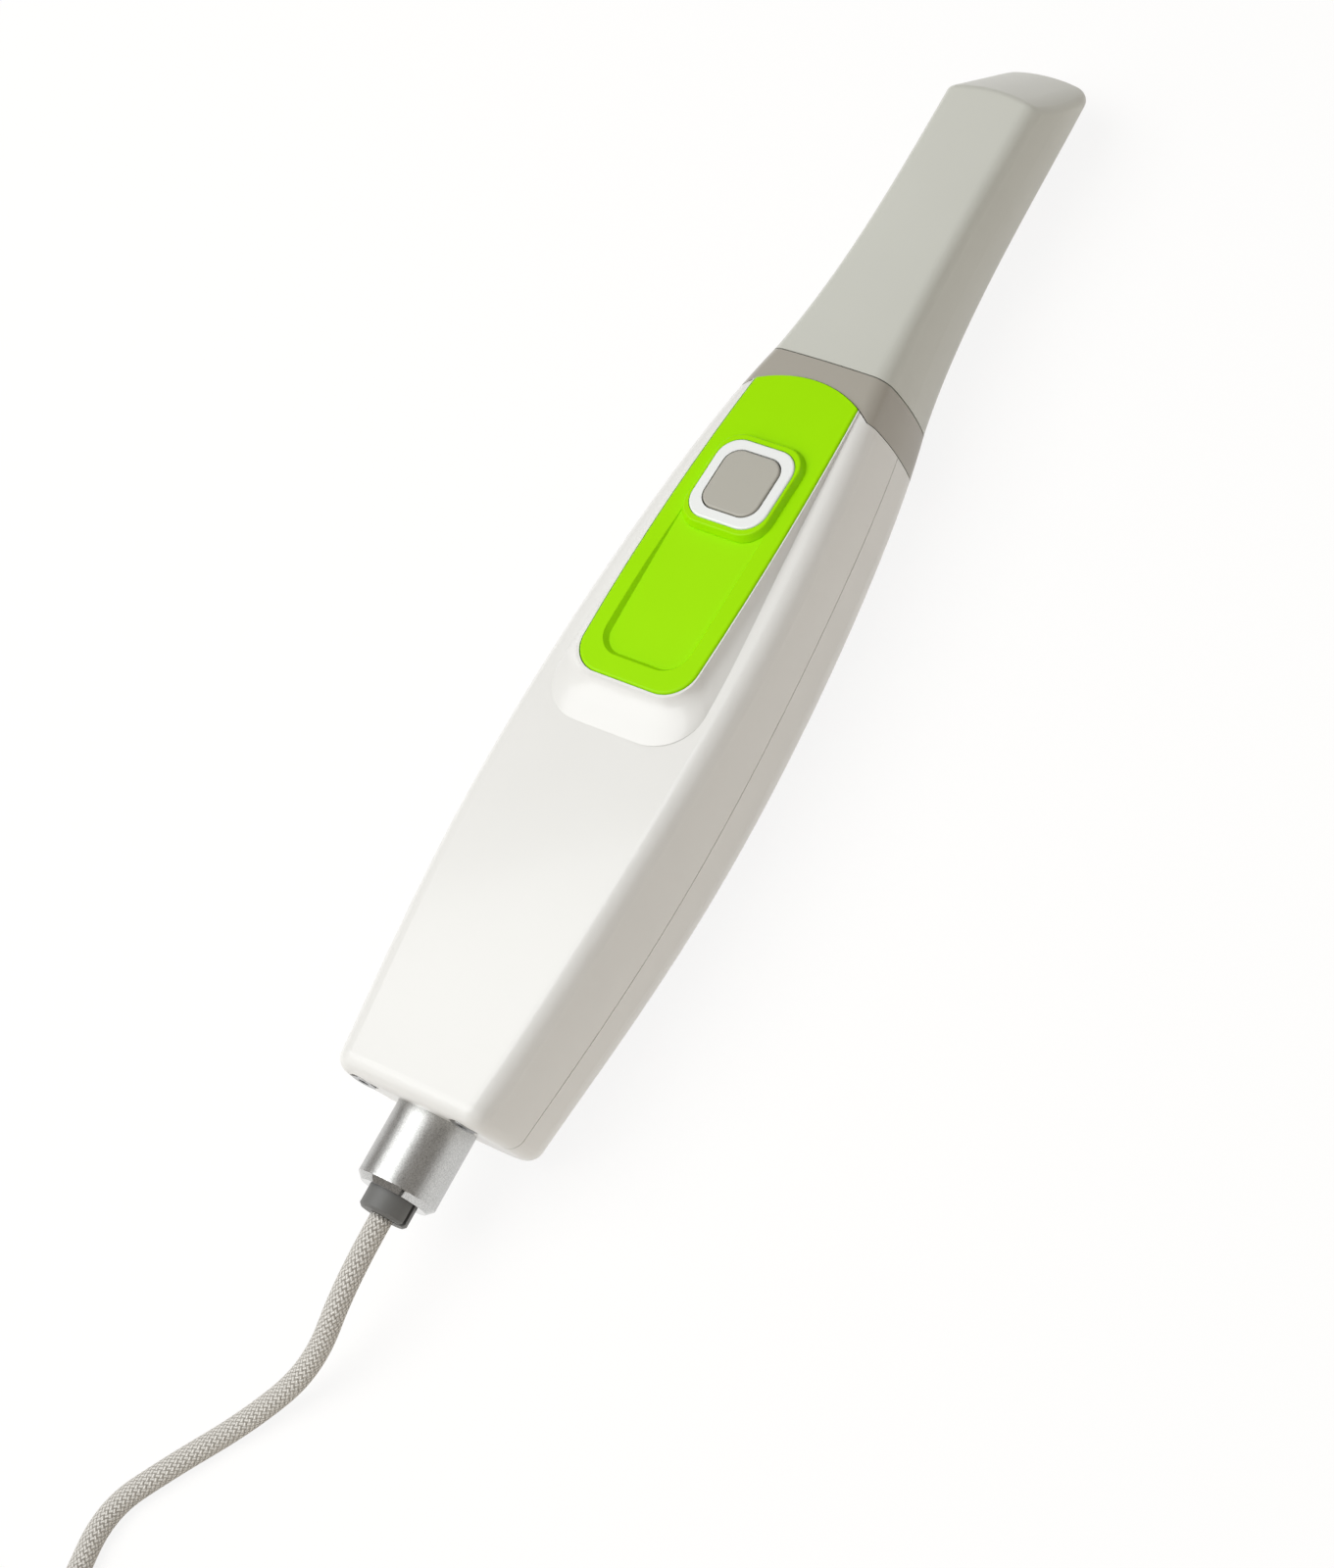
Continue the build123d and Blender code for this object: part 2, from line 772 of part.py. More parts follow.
panel_room = under_curve(panel_points())
panel_under = under_curve(panel_points(panel_rear_thick, panel_front_thick))
panel_form = panel_outline(panel_plane(0))
frame_hole = rounded_prism(button_plane, -span / 4, span / 4, ring_length + 2 * seat_gap,
                           ring_width + 2 * seat_gap, ring_corner + seat_gap)
peg_places = [(sx * (button_board_length / 2 - peg_inset), sy * (button_board_width / 2 - peg_inset))
              for sx in (1, -1) for sy in (1, -1)]
with BuildPart() as control_panel:
    extrude(panel_form, amount=span)
    add(panel_room, mode=Mode.INTERSECT)
    add(panel_under, mode=Mode.SUBTRACT)
    add(handle_front, mode=Mode.SUBTRACT)
    fillet(control_panel.faces().sort_by(Axis.Z)[-1].edges(), panel_edge_round)
    add(finger_rest.part, mode=Mode.SUBTRACT)
    with BuildSketch(button_plane):
        RectangleRounded(frame_length, frame_width, frame_corner)
    extrude(amount=frame_height, taper=frame_draft)
    with BuildSketch(button_plane):
        RectangleRounded(frame_length, frame_width, frame_corner)
    extrude(amount=-frame_root)
    frame_top = control_panel.faces().sort_by_distance(button_plane.offset(frame_height).origin)[0]
    fillet(frame_top.edges(), frame_round)
    add(frame_hole, mode=Mode.SUBTRACT)
    with BuildSketch(button_plane.offset(-panel_front_thick / 2)):
        with Locations(*peg_places):
            Circle(peg_radius)
    extrude(amount=button_board_top + panel_front_thick / 2)
    with BuildSketch(button_plane.offset(button_board_top)):
        with Locations(*peg_places):
            Circle(peg_pin_radius)
    extrude(amount=-board_thick - peg_pin_radius)
save(control_panel.part, "control_panel")

# Scan button: ring, cap, switch, board and the four lights under the ring
ring_body = rounded_prism(button_plane, ring_bottom, frame_height + ring_proud,
                          ring_length, ring_width, ring_corner)
ring_foot = rounded_prism(button_plane, ring_bottom, ring_bottom + ring_flange_thick,
                          ring_length + 2 * ring_flange, ring_width + 2 * ring_flange,
                          ring_corner + ring_flange)
cap_room = rounded_prism(button_plane, ring_bottom - wall, frame_height + wall,
                         cap_length + 2 * cap_clearance, cap_width + 2 * cap_clearance,
                         cap_corner + cap_clearance)
with BuildPart() as light_ring:
    add(ring_body)
    ring_top = light_ring.faces().sort_by_distance(
        button_plane.offset(frame_height + ring_proud).origin)[0]
    fillet(ring_top.edges(), ring_round)
    add(ring_foot)
    add(cap_room, mode=Mode.SUBTRACT)
save(light_ring.part, "light_ring")

cap_top = frame_height + cap_proud
cap_body = rounded_prism(button_plane, cap_bottom, cap_top, cap_length, cap_width, cap_corner)
cap_foot = rounded_prism(button_plane, cap_bottom, cap_bottom + cap_flange_thick,
                         cap_length + 2 * cap_flange, cap_width + 2 * cap_flange,
                         cap_corner + cap_flange)
cap_inside = rounded_prism(button_plane, cap_bottom, cap_top - cap_skin,
                           cap_length - 2 * cap_skin, cap_width - 2 * cap_skin, cap_corner - cap_skin)
with BuildPart() as button_cap:
    add(cap_body)
    cap_face = button_cap.faces().sort_by_distance(button_plane.offset(cap_top).origin)[0]
    fillet(cap_face.edges(), cap_round)
    add(cap_foot)
    add(cap_inside, mode=Mode.SUBTRACT)
    with BuildSketch(button_plane.offset(cap_bottom)):
        Circle(stem_radius)
    extrude(amount=cap_top - cap_bottom - cap_skin / 2)
save(button_cap.part, "button_cap")

with BuildPart() as button_board:
    with BuildSketch(button_plane.offset(button_board_top - board_thick)):
        RectangleRounded(button_board_length, button_board_width, peg_inset)
        with Locations(*peg_places):
            Circle(peg_pin_radius + screw_gap, mode=Mode.SUBTRACT)
    extrude(amount=board_thick)
save(button_board.part, "button_board")

with BuildPart() as tact_switch:
    with BuildSketch(button_plane.offset(button_board_top)):
        RectangleRounded(switch_size, switch_size, cap_round)
    extrude(amount=switch_height)
    with BuildSketch(button_plane.offset(button_board_top + switch_height)):
        Circle(plunger_radius)
    extrude(amount=plunger_height)
save(tact_switch.part, "tact_switch")

led_radius_x = (ring_length + cap_length) / 4
led_radius_y = (ring_width + cap_width) / 4
led_places = [(led_radius_x, 0, 90), (0, led_radius_y, 0), (-led_radius_x, 0, 90), (0, -led_radius_y, 0)]
for number, (led_x, led_y, turn) in enumerate(led_places, start=1):
    with BuildPart() as status_led:
        with BuildSketch(button_plane.offset(button_board_top)):
            with Locations(Location((led_x, led_y, 0), (0, 0, turn))):
                RectangleRounded(led_length, led_width, led_width / 6)
        extrude(amount=led_height)
    save(status_led.part, "status_led_" + str(number))

# Front collar, with a straight bore for the snout and a spigot inside the shells
snout_inset = tip_wall + tip_clearance


def straight(inset, x_low, x_high):
    """Prism of the seam section between two places."""
    outline = whole_outline((x_low,) + tip_sections[0][1:], inset)
    with BuildPart() as body:
        extrude(outline, amount=x_high - x_low)
    return body.part


handle_whole = whole_loft(handle_sections)
collar_zone = front_zone(0)
collar_bore = straight(snout_inset - lead_gap, collar_x - 2 * spigot_length, seam_x)
spigot_inset = wall + spigot_clearance
spigot_outer_top = upper_loft(cavity_sections, spigot_inset, cavity_roofs)
spigot_outer_low = lower_loft(cavity_sections, spigot_inset)
spigot_inner_top = upper_loft(cavity_sections, spigot_inset + spigot_wall, cavity_roofs)
spigot_inner_low = lower_loft(cavity_sections, spigot_inset + spigot_wall)
spigot_reach = slab(collar_x - spigot_length, collar_x + collar_arch_rise, 0, axis_z + spigot_top)
with BuildPart() as spigot:
    add(spigot_outer_top)
    add(spigot_outer_low)
    add(spigot_reach, mode=Mode.INTERSECT)
    add(spigot_inner_top, mode=Mode.SUBTRACT)
    add(spigot_inner_low, mode=Mode.SUBTRACT)
with BuildPart() as front_collar:
    add(handle_whole)
    add(collar_zone, mode=Mode.INTERSECT)
    split(bisect_by=Plane.YZ.offset(seam_x - tip_gap), keep=Keep.BOTTOM)
    add(spigot.part)
    add(collar_bore, mode=Mode.SUBTRACT)
save(front_collar.part, "front_collar")

# Optics snout with its glass and the rubber ring that grips the tip
snout_rear_x = seam_x - snout_root
snout_end_x = seam_x + snout_length
snout_stem = straight(snout_inset, snout_rear_x, seam_x)
snout_form = whole_loft(tip_sections, snout_inset)
snout_reach = slab(seam_x, snout_end_x, 0, axis_z + span)
with BuildPart() as snout_front:
    add(snout_form)
    add(snout_reach, mode=Mode.INTERSECT)
stem_bore = straight(snout_inset + snout_wall, snout_rear_x, seam_x)
snout_bore = whole_loft(tip_sections, snout_inset + snout_wall)
glass_form = whole_loft(tip_sections, snout_inset + glass_land)
glass_reach = slab(snout_end_x - glass_thick, snout_end_x + wall, 0, axis_z + span)
with BuildPart() as glass_seat:
    add(glass_form)
    add(glass_reach, mode=Mode.INTERSECT)
ring_low_x = seam_x + grip_ring_at
groove_root = whole_loft(tip_sections, snout_inset + grip_ring_depth)
groove_reach = slab(ring_low_x, ring_low_x + grip_ring_width, 0, axis_z + span)
with BuildPart() as ring_groove:
    add(groove_reach)
    add(groove_root, mode=Mode.SUBTRACT)
with BuildPart() as nose_tube:
    add(snout_stem)
    add(snout_front.part)
    add(stem_bore, mode=Mode.SUBTRACT)
    add(snout_bore, mode=Mode.SUBTRACT)
    add(glass_seat.part, mode=Mode.SUBTRACT)
    add(ring_groove.part, mode=Mode.SUBTRACT)
save(nose_tube.part, "nose_tube")

pane_form = whole_loft(tip_sections, snout_inset + glass_land + glass_gap)
pane_reach = slab(snout_end_x - glass_thick, snout_end_x, 0, axis_z + span)
with BuildPart() as nose_window:
    add(pane_form)
    add(pane_reach, mode=Mode.INTERSECT)
save(nose_window.part, "nose_window")

ring_outer = whole_loft(tip_sections, tip_wall + grip_ring_gap)
ring_reach = slab(ring_low_x + lead_gap, ring_low_x + grip_ring_width - lead_gap, 0, axis_z + span)
with BuildPart() as grip_ring:
    add(ring_outer)
    add(ring_reach, mode=Mode.INTERSECT)
    add(groove_root, mode=Mode.SUBTRACT)
save(grip_ring.part, "grip_ring")

# Scan tip: hollow sleeve with a slanted, bowed nose, a window under it and a mirror inside
nose_height = end_rise + end_depth
nose_angle = atan2(nose_height, nose_setback)
nose_slope = nose_setback / nose_height
nose_foot_x = nose_x + nose_round / tan(nose_angle / 2) - nose_round
nose_foot_z = axis_z - end_depth
nose_spread = end_side + nose_flank


def nose_prism(inset, bow):
    """Everything behind the nose: a plan with a bowed, round-cornered end, run up along the slope."""
    spare = waist_rise
    foot = nose_foot_x - inset / sin(nose_angle) + spare * nose_slope
    back = seam_x - 3 * spare
    with BuildPart() as body:
        with BuildSketch(Plane.XY.offset(nose_foot_z - spare)) as sketch:
            with BuildLine():
                ThreePointArc((foot - bow, -nose_spread), (foot, 0), (foot - bow, nose_spread))
                Polyline((foot - bow, nose_spread), (back, span), (back, -span),
                         (foot - bow, -nose_spread))
            make_face()
            fillet(sketch.vertices().group_by(Axis.X)[-1], nose_corner)
        extrude(amount=(nose_height + 2 * spare) / sin(nose_angle), dir=(-nose_slope, 0, 1))
    return body.part


def nose_wedge(inset):
    """Everything behind a flat plane along the nose's slope."""
    foot = nose_foot_x - inset / sin(nose_angle)
    top = nose_height + waist_rise
    with BuildPart() as body:
        with BuildSketch(Plane.XZ):
            with BuildLine():
                Polyline((seam_x - span, nose_foot_z - waist_rise),
                         (foot + waist_rise * nose_slope, nose_foot_z - waist_rise),
                         (foot - top * nose_slope, nose_foot_z + top),
                         (seam_x - span, nose_foot_z + top), close=True)
            make_face()
        extrude(amount=span, both=True)
    return body.part


tip_form = whole_loft(tip_sections)
tip_hollow = whole_loft(tip_sections, tip_wall)
tip_end = nose_prism(0, nose_bow)
hollow_end = nose_prism(tip_wall, nose_bow)
mirror_back = nose_wedge(tip_wall + mirror_seat)
with BuildPart() as tip_cavity:
    add(tip_hollow)
    add(hollow_end, mode=Mode.INTERSECT)
    add(mirror_back, mode=Mode.INTERSECT)
window_x = nose_x - window_setback - window_length / 2
with BuildPart() as scan_tip:
    add(tip_form)
    add(tip_end, mode=Mode.INTERSECT)
    slant = scan_tip.faces().filter_by_position(Axis.X, nose_x - nose_setback, nose_x)
    fillet(slant.edges(), nose_round)
    add(tip_cavity.part, mode=Mode.SUBTRACT)
    with BuildSketch(Plane.XY.offset(nose_foot_z + 2 * tip_wall)):
        with Locations((window_x, 0)):
            RectangleRounded(window_length, window_width, window_corner)
    extrude(amount=-span, mode=Mode.SUBTRACT)
save(scan_tip.part, "scan_tip")

mirror_plane = Plane(origin=(nose_foot_x - nose_setback / 2 - (tip_wall + mirror_seat) / sin(nose_angle), 0,
                             nose_foot_z + nose_height / 2),
                     x_dir=(cos(nose_angle), 0, -sin(nose_angle)),
                     z_dir=(-sin(nose_angle), 0, -cos(nose_angle)))
with BuildPart() as tip_mirror:
    with BuildSketch(mirror_plane):
        RectangleRounded(mirror_length, mirror_width, mirror_corner)
    extrude(amount=mirror_thick)
save(tip_mirror.part, "tip_mirror")

# Chassis tray, with a rear plate for the housing screws and standoffs for the main board
chassis_rear_x = rear_x + chassis_rear_at
chassis_front_x = seam_x - chassis_front_back
chassis_nose_x = seam_x - chassis_nose_back
standoff_y = board_half - standoff_inset
standoff_rear_x = rear_x + standoff_rear_at
standoff_front_x = seam_x - standoff_front_back
standoff_places = [(x, side * standoff_y)
                   for x in (standoff_rear_x, standoff_front_x) for side in (1, -1)]
with BuildPart() as chassis:
    with BuildSketch(Plane.XY.offset(chassis_under_z)):
        with BuildLine():
            Polyline((chassis_rear_x, chassis_half), (chassis_nose_x, chassis_half),
                     (chassis_nose_x + wall, chassis_nose_half),
                     (chassis_front_x, chassis_nose_half), (chassis_front_x, -chassis_nose_half),
                     (chassis_nose_x + wall, -chassis_nose_half),
                     (chassis_nose_x, -chassis_half), (chassis_rear_x, -chassis_half),
                     close=True)
        make_face()
        with Locations(*boss_places):
            Circle(screw_radius + screw_gap, mode=Mode.SUBTRACT)
    extrude(amount=chassis_thick)
    with BuildSketch(Plane.XY.offset(chassis_top_z)):
        for side in (1, -1):
            with Locations(((chassis_rear_x + chassis_nose_x) / 2,
                            side * (chassis_half - chassis_thick / 2))):
                Rectangle(chassis_nose_x - chassis_rear_x, chassis_thick)
    extrude(amount=chassis_lip)
    with BuildSketch(Plane.YZ.offset(chassis_rear_x)):
        with Locations((0, (chassis_top_z + axis_z + upright_rise) / 2)):
            Rectangle(2 * upright_half, axis_z + upright_rise - chassis_top_z)
        with Locations((0, axis_z)):
            Circle(lead_hole_radius, mode=Mode.SUBTRACT)
        with Locations(*rear_screw_places):
            Circle(rear_screw_radius + screw_gap, mode=Mode.SUBTRACT)
    extrude(amount=chassis_thick)
    with BuildSketch(Plane.XY.offset(chassis_top_z)):
        with Locations(*standoff_places):
            Circle(standoff_radius)
            Circle(screw_radius + screw_gap, mode=Mode.SUBTRACT)
    extrude(amount=standoff_height)
save(chassis.part, "chassis")


def pan_screw(x, y, z):
    """Small screw, head resting at a height, shank pointing down."""
    shank = upright(x, y, z - screw_length, z, screw_radius)
    head = upright(x, y, z, z + screw_head_height, screw_head_radius)
    with BuildPart() as body:
        add(shank)
        add(head)
        with BuildSketch(Plane(origin=(x, y, z + screw_head_height), x_dir=(1, 0, 0), z_dir=(0, 0, 1))):
            RegularPolygon(screw_radius, 6)
        extrude(amount=-screw_head_height / 2, mode=Mode.SUBTRACT)
    return body.part


for number, (x, y) in enumerate(boss_places, start=1):
    save(pan_screw(x, y, chassis_top_z), "chassis_screw_" + str(number))
for number, (x, y) in enumerate(standoff_places, start=1):
    save(pan_screw(x, y, board_top_z), "board_screw_" + str(number))

# Main board with its parts
board_mid_x = (standoff_rear_x + standoff_front_x) / 2
with BuildPart() as main_board:
    with BuildSketch(Plane.XY.offset(board_z)):
        with Locations((board_mid_x, 0)):
            RectangleRounded(standoff_front_x - standoff_rear_x + 2 * board_end, 2 * board_half,
                             standoff_inset / 2)
        with Locations(*standoff_places):
            Circle(screw_radius + screw_gap, mode=Mode.SUBTRACT)
    extrude(amount=main_board_thick)
save(main_board.part, "main_board")

chip_x = board_mid_x + processor_lead
processor = block(chip_x - processor_size / 2, chip_x + processor_size / 2, processor_size / 2,
                  board_z - processor_height, board_z)
save(processor, "processor")
heat_spreader = block(chip_x - spreader_size / 2, chip_x + spreader_size / 2, spreader_size / 2,
                      chassis_top_z, board_z - processor_height)
save(heat_spreader, "heat_spreader")
memory_chip = block(chip_x - memory_length / 2, chip_x + memory_length / 2, memory_width / 2,
                    board_top_z, board_top_z + memory_height)
save(memory_chip, "memory_chip")
connector_x = rear_x + connector_rear_at
board_connector = block(connector_x, connector_x + connector_length, connector_width / 2,
                        board_top_z, board_top_z + connector_height)
save(board_connector, "board_connector")
lead_plug_x = connector_x - lead_plug_length
lead_plug = block(lead_plug_x, connector_x, connector_width / 2 - lead_plug_inset,
                  board_top_z + lead_plug_inset, board_top_z + connector_height - lead_plug_inset)
save(lead_plug, "lead_plug")
inner_lead = along(gland_x, lead_plug_x, cable_radius)
save(inner_lead, "inner_lead")

# Optics block with the camera above and the pattern projector below
block_rear_x = chassis_front_x - block_length
block_top_z = axis_z + block_rise
path_mid_z = (chassis_top_z + block_top_z) / 2
camera_z = path_mid_z + path_spacing / 2
projector_z = path_mid_z - path_spacing / 2
barrel_front_x = chassis_front_x + barrel_reach
barrel_rear_x = barrel_front_x - barrel_length
path_bores = [along(block_rear_x, chassis_front_x, barrel_radius + barrel_gap, 0, z)
              for z in (camera_z, projector_z)]
block_form = block(block_rear_x, chassis_front_x, block_half, chassis_top_z, block_top_z)
with BuildPart() as optics_block:
    add(block_form)
    fillet(optics_block.edges().filter_by(Axis.X).group_by(Axis.Z)[-1], wall)
    for bore in path_bores:
        add(bore, mode=Mode.SUBTRACT)
save(optics_block.part, "optics_block")


def barrel(height):
    """Lens barrel with a seat for the lens at its front end."""
    seat_x = barrel_front_x - lens_seat
    return lathe([(barrel_rear_x, barrel_bore), (barrel_rear_x, barrel_radius),
                  (barrel_front_x, barrel_radius), (barrel_front_x, lens_radius + barrel_gap),
                  (seat_x, lens_radius + barrel_gap), (seat_x, barrel_bore)], height)


def lens(height):
    """Lens with a bulging front and back, resting on the barrel's seat."""
    back_x = barrel_front_x - lens_seat
    front_x = back_x + lens_thick
    edge = barrel_bore - barrel_gap
    ball = (edge ** 2 + lens_bulge ** 2) / (2 * lens_bulge)
    rise = lens_bulge - ball + sqrt(ball ** 2 - edge ** 2 / 4)
    with BuildPart() as body:
        with BuildSketch(Plane(origin=(0, 0, height), x_dir=(1, 0, 0), z_dir=(0, -1, 0))):
            with BuildLine():
                ThreePointArc((back_x - lens_bulge, 0), (back_x - rise, edge / 2), (back_x, edge))
                Polyline((back_x, edge), (back_x, lens_radius), (front_x, lens_radius), (front_x, edge))
                ThreePointArc((front_x, edge), (front_x + rise, edge / 2), (front_x + lens_bulge, 0))
                Line((front_x + lens_bulge, 0), (back_x - lens_bulge, 0))
            make_face()
        revolve(axis=Axis((0, 0, height), (1, 0, 0)))
    return body.part


save(barrel(camera_z), "camera_barrel")
save(lens(camera_z), "camera_lens")
save(barrel(projector_z), "projector_barrel")
save(lens(projector_z), "projector_lens")
pattern_slide = along(barrel_rear_x - slide_thick, barrel_rear_x, barrel_radius, 0, projector_z)
save(pattern_slide, "pattern_slide")
sensor_board = block(block_rear_x - optics_board_thick, block_rear_x, optics_board_half,
                     path_mid_z + optics_board_gap / 2, block_top_z)
save(sensor_board, "sensor_board")
led_board = block(block_rear_x - optics_board_thick, block_rear_x, optics_board_half,
                  chassis_top_z, path_mid_z - optics_board_gap / 2)
save(led_board, "led_board")
image_sensor = block(block_rear_x, block_rear_x + sensor_height, sensor_size / 2,
                     camera_z - sensor_size / 2, camera_z + sensor_size / 2)
save(image_sensor, "image_sensor")
projector_led = block(block_rear_x, block_rear_x + led_chip_height, led_chip_size / 2,
                      projector_z - led_chip_size / 2, projector_z + led_chip_size / 2)
save(projector_led, "projector_led")

# Cable exit: sleeve through the rear wall, its nut, and the slotted gland
sleeve_x = rear_x - sleeve_reach
sleeve_seat_x = rear_x + rear_rake
shank_x = rear_x + shank_length
gland_seat_x = sleeve_x + gland_depth
lead_bore = cable_radius + lead_gap
cable_sleeve = lathe([
    (sleeve_x, gland_radius + lead_gap), (sleeve_x, sleeve_radius - sleeve_chamfer),
    (sleeve_x + sleeve_chamfer, sleeve_radius), (sleeve_seat_x, sleeve_radius), (sleeve_seat_x, shank_radius),
    (shank_x, shank_radius), (shank_x, lead_bore), (gland_seat_x, lead_bore),
    (gland_seat_x, gland_radius + lead_gap)])
save(cable_sleeve, "cable_sleeve")
nut_x = rear_x + back_wall
with BuildPart() as sleeve_nut:
    with BuildSketch(Plane(origin=(nut_x, 0, axis_z), x_dir=(0, 1, 0), z_dir=(1, 0, 0))):
        RegularPolygon(nut_across / 2, 6, major_radius=False)
        Circle(shank_radius + lead_gap, mode=Mode.SUBTRACT)
    extrude(amount=nut_thick)
save(sleeve_nut.part, "sleeve_nut")
gland_form = lathe([(gland_x, lead_bore), (gland_x, gland_radius - gland_round),
                    (gland_x + gland_round, gland_radius), (gland_seat_x, gland_radius),
                    (gland_seat_x, lead_bore)])
with BuildPart() as cable_gland:
    add(gland_form)
    with BuildSketch(Plane(origin=(gland_x, 0, axis_z), x_dir=(0, 1, 0), z_dir=(1, 0, 0))):
        with Locations((-gland_radius, 0)):
            Rectangle(gland_radius, gland_slit)
    extrude(amount=gland_reach, mode=Mode.SUBTRACT)
save(cable_gland.part, "cable_gland")

for number, (y, z) in enumerate(rear_screw_places, start=1):
    head_x = rear_x + rear_recess_depth
    head = along(head_x - rear_head_height, head_x, rear_head_radius, y, z)
    shank = along(head_x, chassis_rear_x + chassis_thick, rear_screw_radius, y, z)
    with BuildPart() as housing_screw:
        add(head)
        add(shank)
        with BuildSketch(Plane(origin=(head_x - rear_head_height, y, z), x_dir=(0, 1, 0), z_dir=(1, 0, 0))):
            RegularPolygon(socket_radius, 6)
        extrude(amount=socket_depth, mode=Mode.SUBTRACT)
    save(housing_screw.part, "housing_screw_" + str(number))


# Cable on the floor, its coil, its tail and the plug


def bend_radii(points):
    """Bend radius at each inner point: 0.45 of the shorter run over the half-turn's tangent."""
    radii = []
    for a, b, c in zip(points, points[1:], points[2:]):
        before = Vector(*b) - Vector(*a)
        after = Vector(*c) - Vector(*b)
        half = radians(before.get_angle(after)) / 2
        radii.append(0.45 * min(before.length, after.length) / tan(half))
    return radii


def tube(points, name):
    """Cable swept along rounded runs between points."""
    with BuildPart() as body:
        with BuildLine() as path:
            FilletPolyline(*points, radius=bend_radii(points))
        with BuildSketch(Plane(origin=points[0], z_dir=path.line % 0)):
            Circle(cable_radius)
        sweep(path=path.line)
    save(body.part, name)
    return sum(edge.length for edge in path.edges())


coil_x, coil_y = coil_centre
coil_width = coil_columns * cable_diameter
coil_outer = coil_radius + coil_width / 2
coil_inner = coil_radius - coil_width / 2
coil_low = tie_thick
coil_high = coil_low + coil_layers * cable_diameter
coil_entry = (coil_x, coil_y + coil_outer - cable_radius, coil_low + cable_radius)
coil_exit = (coil_x, coil_y + coil_outer - cable_radius, coil_high - cable_radius)
plug_z = coil_high + plug_height / 2
lead_length = tube([(gland_x, 0, axis_z)] + cable_route + [coil_entry], "cable")
with BuildPart() as cable_coil:
    with BuildSketch(Plane.XY.offset(coil_low)):
        with Locations(coil_centre):
            Circle(coil_outer)
            Circle(coil_inner, mode=Mode.SUBTRACT)
    extrude(amount=coil_high - coil_low)
save(cable_coil.part, "cable_coil")
tail_length = tube([coil_exit] + tail_route + [(plug_rear_x - relief_length, plug_y, plug_z)], "cable_tail")
coil_length = 2 * pi * coil_radius * coil_columns * coil_layers
print("cord length", round(lead_length + coil_length + tail_length))

tie_plane = Plane(origin=(coil_x, coil_y, 0), x_dir=(cos(radians(tie_angle)), sin(radians(tie_angle)), 0),
                  z_dir=(0, 0, 1))
with BuildPart() as cable_tie:
    with BuildSketch(tie_plane):
        with Locations((coil_radius, 0)):
            Rectangle(coil_width + 2 * tie_gap + 2 * tie_thick, tie_width)
    extrude(amount=coil_high + tie_thick)
    with BuildSketch(tie_plane.offset(coil_low)):
        with Locations((coil_radius, 0)):
            Rectangle(coil_width + 2 * tie_gap, tie_width)
    extrude(amount=coil_high - coil_low, mode=Mode.SUBTRACT)
save(cable_tie.part, "cable_tie")

plug_face = Plane(origin=(plug_rear_x, plug_y, plug_z), x_dir=(0, 1, 0), z_dir=(1, 0, 0))
with BuildPart() as plug_body:
    with BuildSketch(plug_face):
        RectangleRounded(plug_width, plug_height, plug_round)
    extrude(amount=plug_length)
    fillet(plug_body.faces().sort_by(Axis.X)[0].edges(), plug_round / 2)
    with BuildSketch(plug_face.offset(plug_round)):
        Circle(relief_radius)
    extrude(amount=-relief_length - plug_round)
    with BuildSketch(plug_face.offset(plug_length - shell_root)):
        Rectangle(shell_width, shell_height)
    extrude(amount=shell_root, mode=Mode.SUBTRACT)
save(plug_body.part, "plug_body")
with BuildPart() as plug_shell:
    with BuildSketch(plug_face.offset(plug_length - shell_root)):
        Rectangle(shell_width, shell_height)
        Rectangle(shell_width - 2 * shell_wall, shell_height - 2 * shell_wall, mode=Mode.SUBTRACT)
    extrude(amount=shell_root + shell_length)
save(plug_shell.part, "plug_shell")
with BuildPart() as plug_tongue:
    with BuildSketch(plug_face.offset(plug_length - shell_root)):
        with Locations((0, (shell_height - tongue_height) / 2 - shell_wall)):
            Rectangle(shell_width - 2 * shell_wall, tongue_height)
    extrude(amount=shell_root + shell_length - shell_wall)
save(plug_tongue.part, "plug_tongue")
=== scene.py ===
import bpy
import numpy as np
from mathutils import Matrix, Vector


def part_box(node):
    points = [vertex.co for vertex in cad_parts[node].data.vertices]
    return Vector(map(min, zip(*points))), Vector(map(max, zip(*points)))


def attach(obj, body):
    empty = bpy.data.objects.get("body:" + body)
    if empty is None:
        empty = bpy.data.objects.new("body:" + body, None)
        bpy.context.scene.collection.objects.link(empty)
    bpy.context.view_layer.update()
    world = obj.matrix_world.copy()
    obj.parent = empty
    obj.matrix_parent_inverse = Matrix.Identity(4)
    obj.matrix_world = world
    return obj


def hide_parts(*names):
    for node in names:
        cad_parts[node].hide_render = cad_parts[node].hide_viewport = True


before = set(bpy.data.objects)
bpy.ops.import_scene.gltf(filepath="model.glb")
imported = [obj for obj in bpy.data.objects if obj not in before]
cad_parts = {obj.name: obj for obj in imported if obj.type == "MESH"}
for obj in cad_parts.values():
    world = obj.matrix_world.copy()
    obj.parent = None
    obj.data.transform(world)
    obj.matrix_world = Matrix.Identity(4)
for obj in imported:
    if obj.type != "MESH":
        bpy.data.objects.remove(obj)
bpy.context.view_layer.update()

bl_info = {
    "name": "Intraoral scanner",
    "version": (1, 0, 0),
    "blender": (4, 5, 0),
    "location": "View3D > Sidebar > Scanner",
    "description": "Finishes, cord and studio for a handheld dental scanning wand",
    "category": "Object",
}

# Sleeve at the cable's exit, in metres: its free end along the wand and its polished chamfer
SLEEVE_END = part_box("cable_sleeve")[0][0]
SLEEVE_CHAMFER = 0.0011
CHAMFER_BLEND = 0.0003

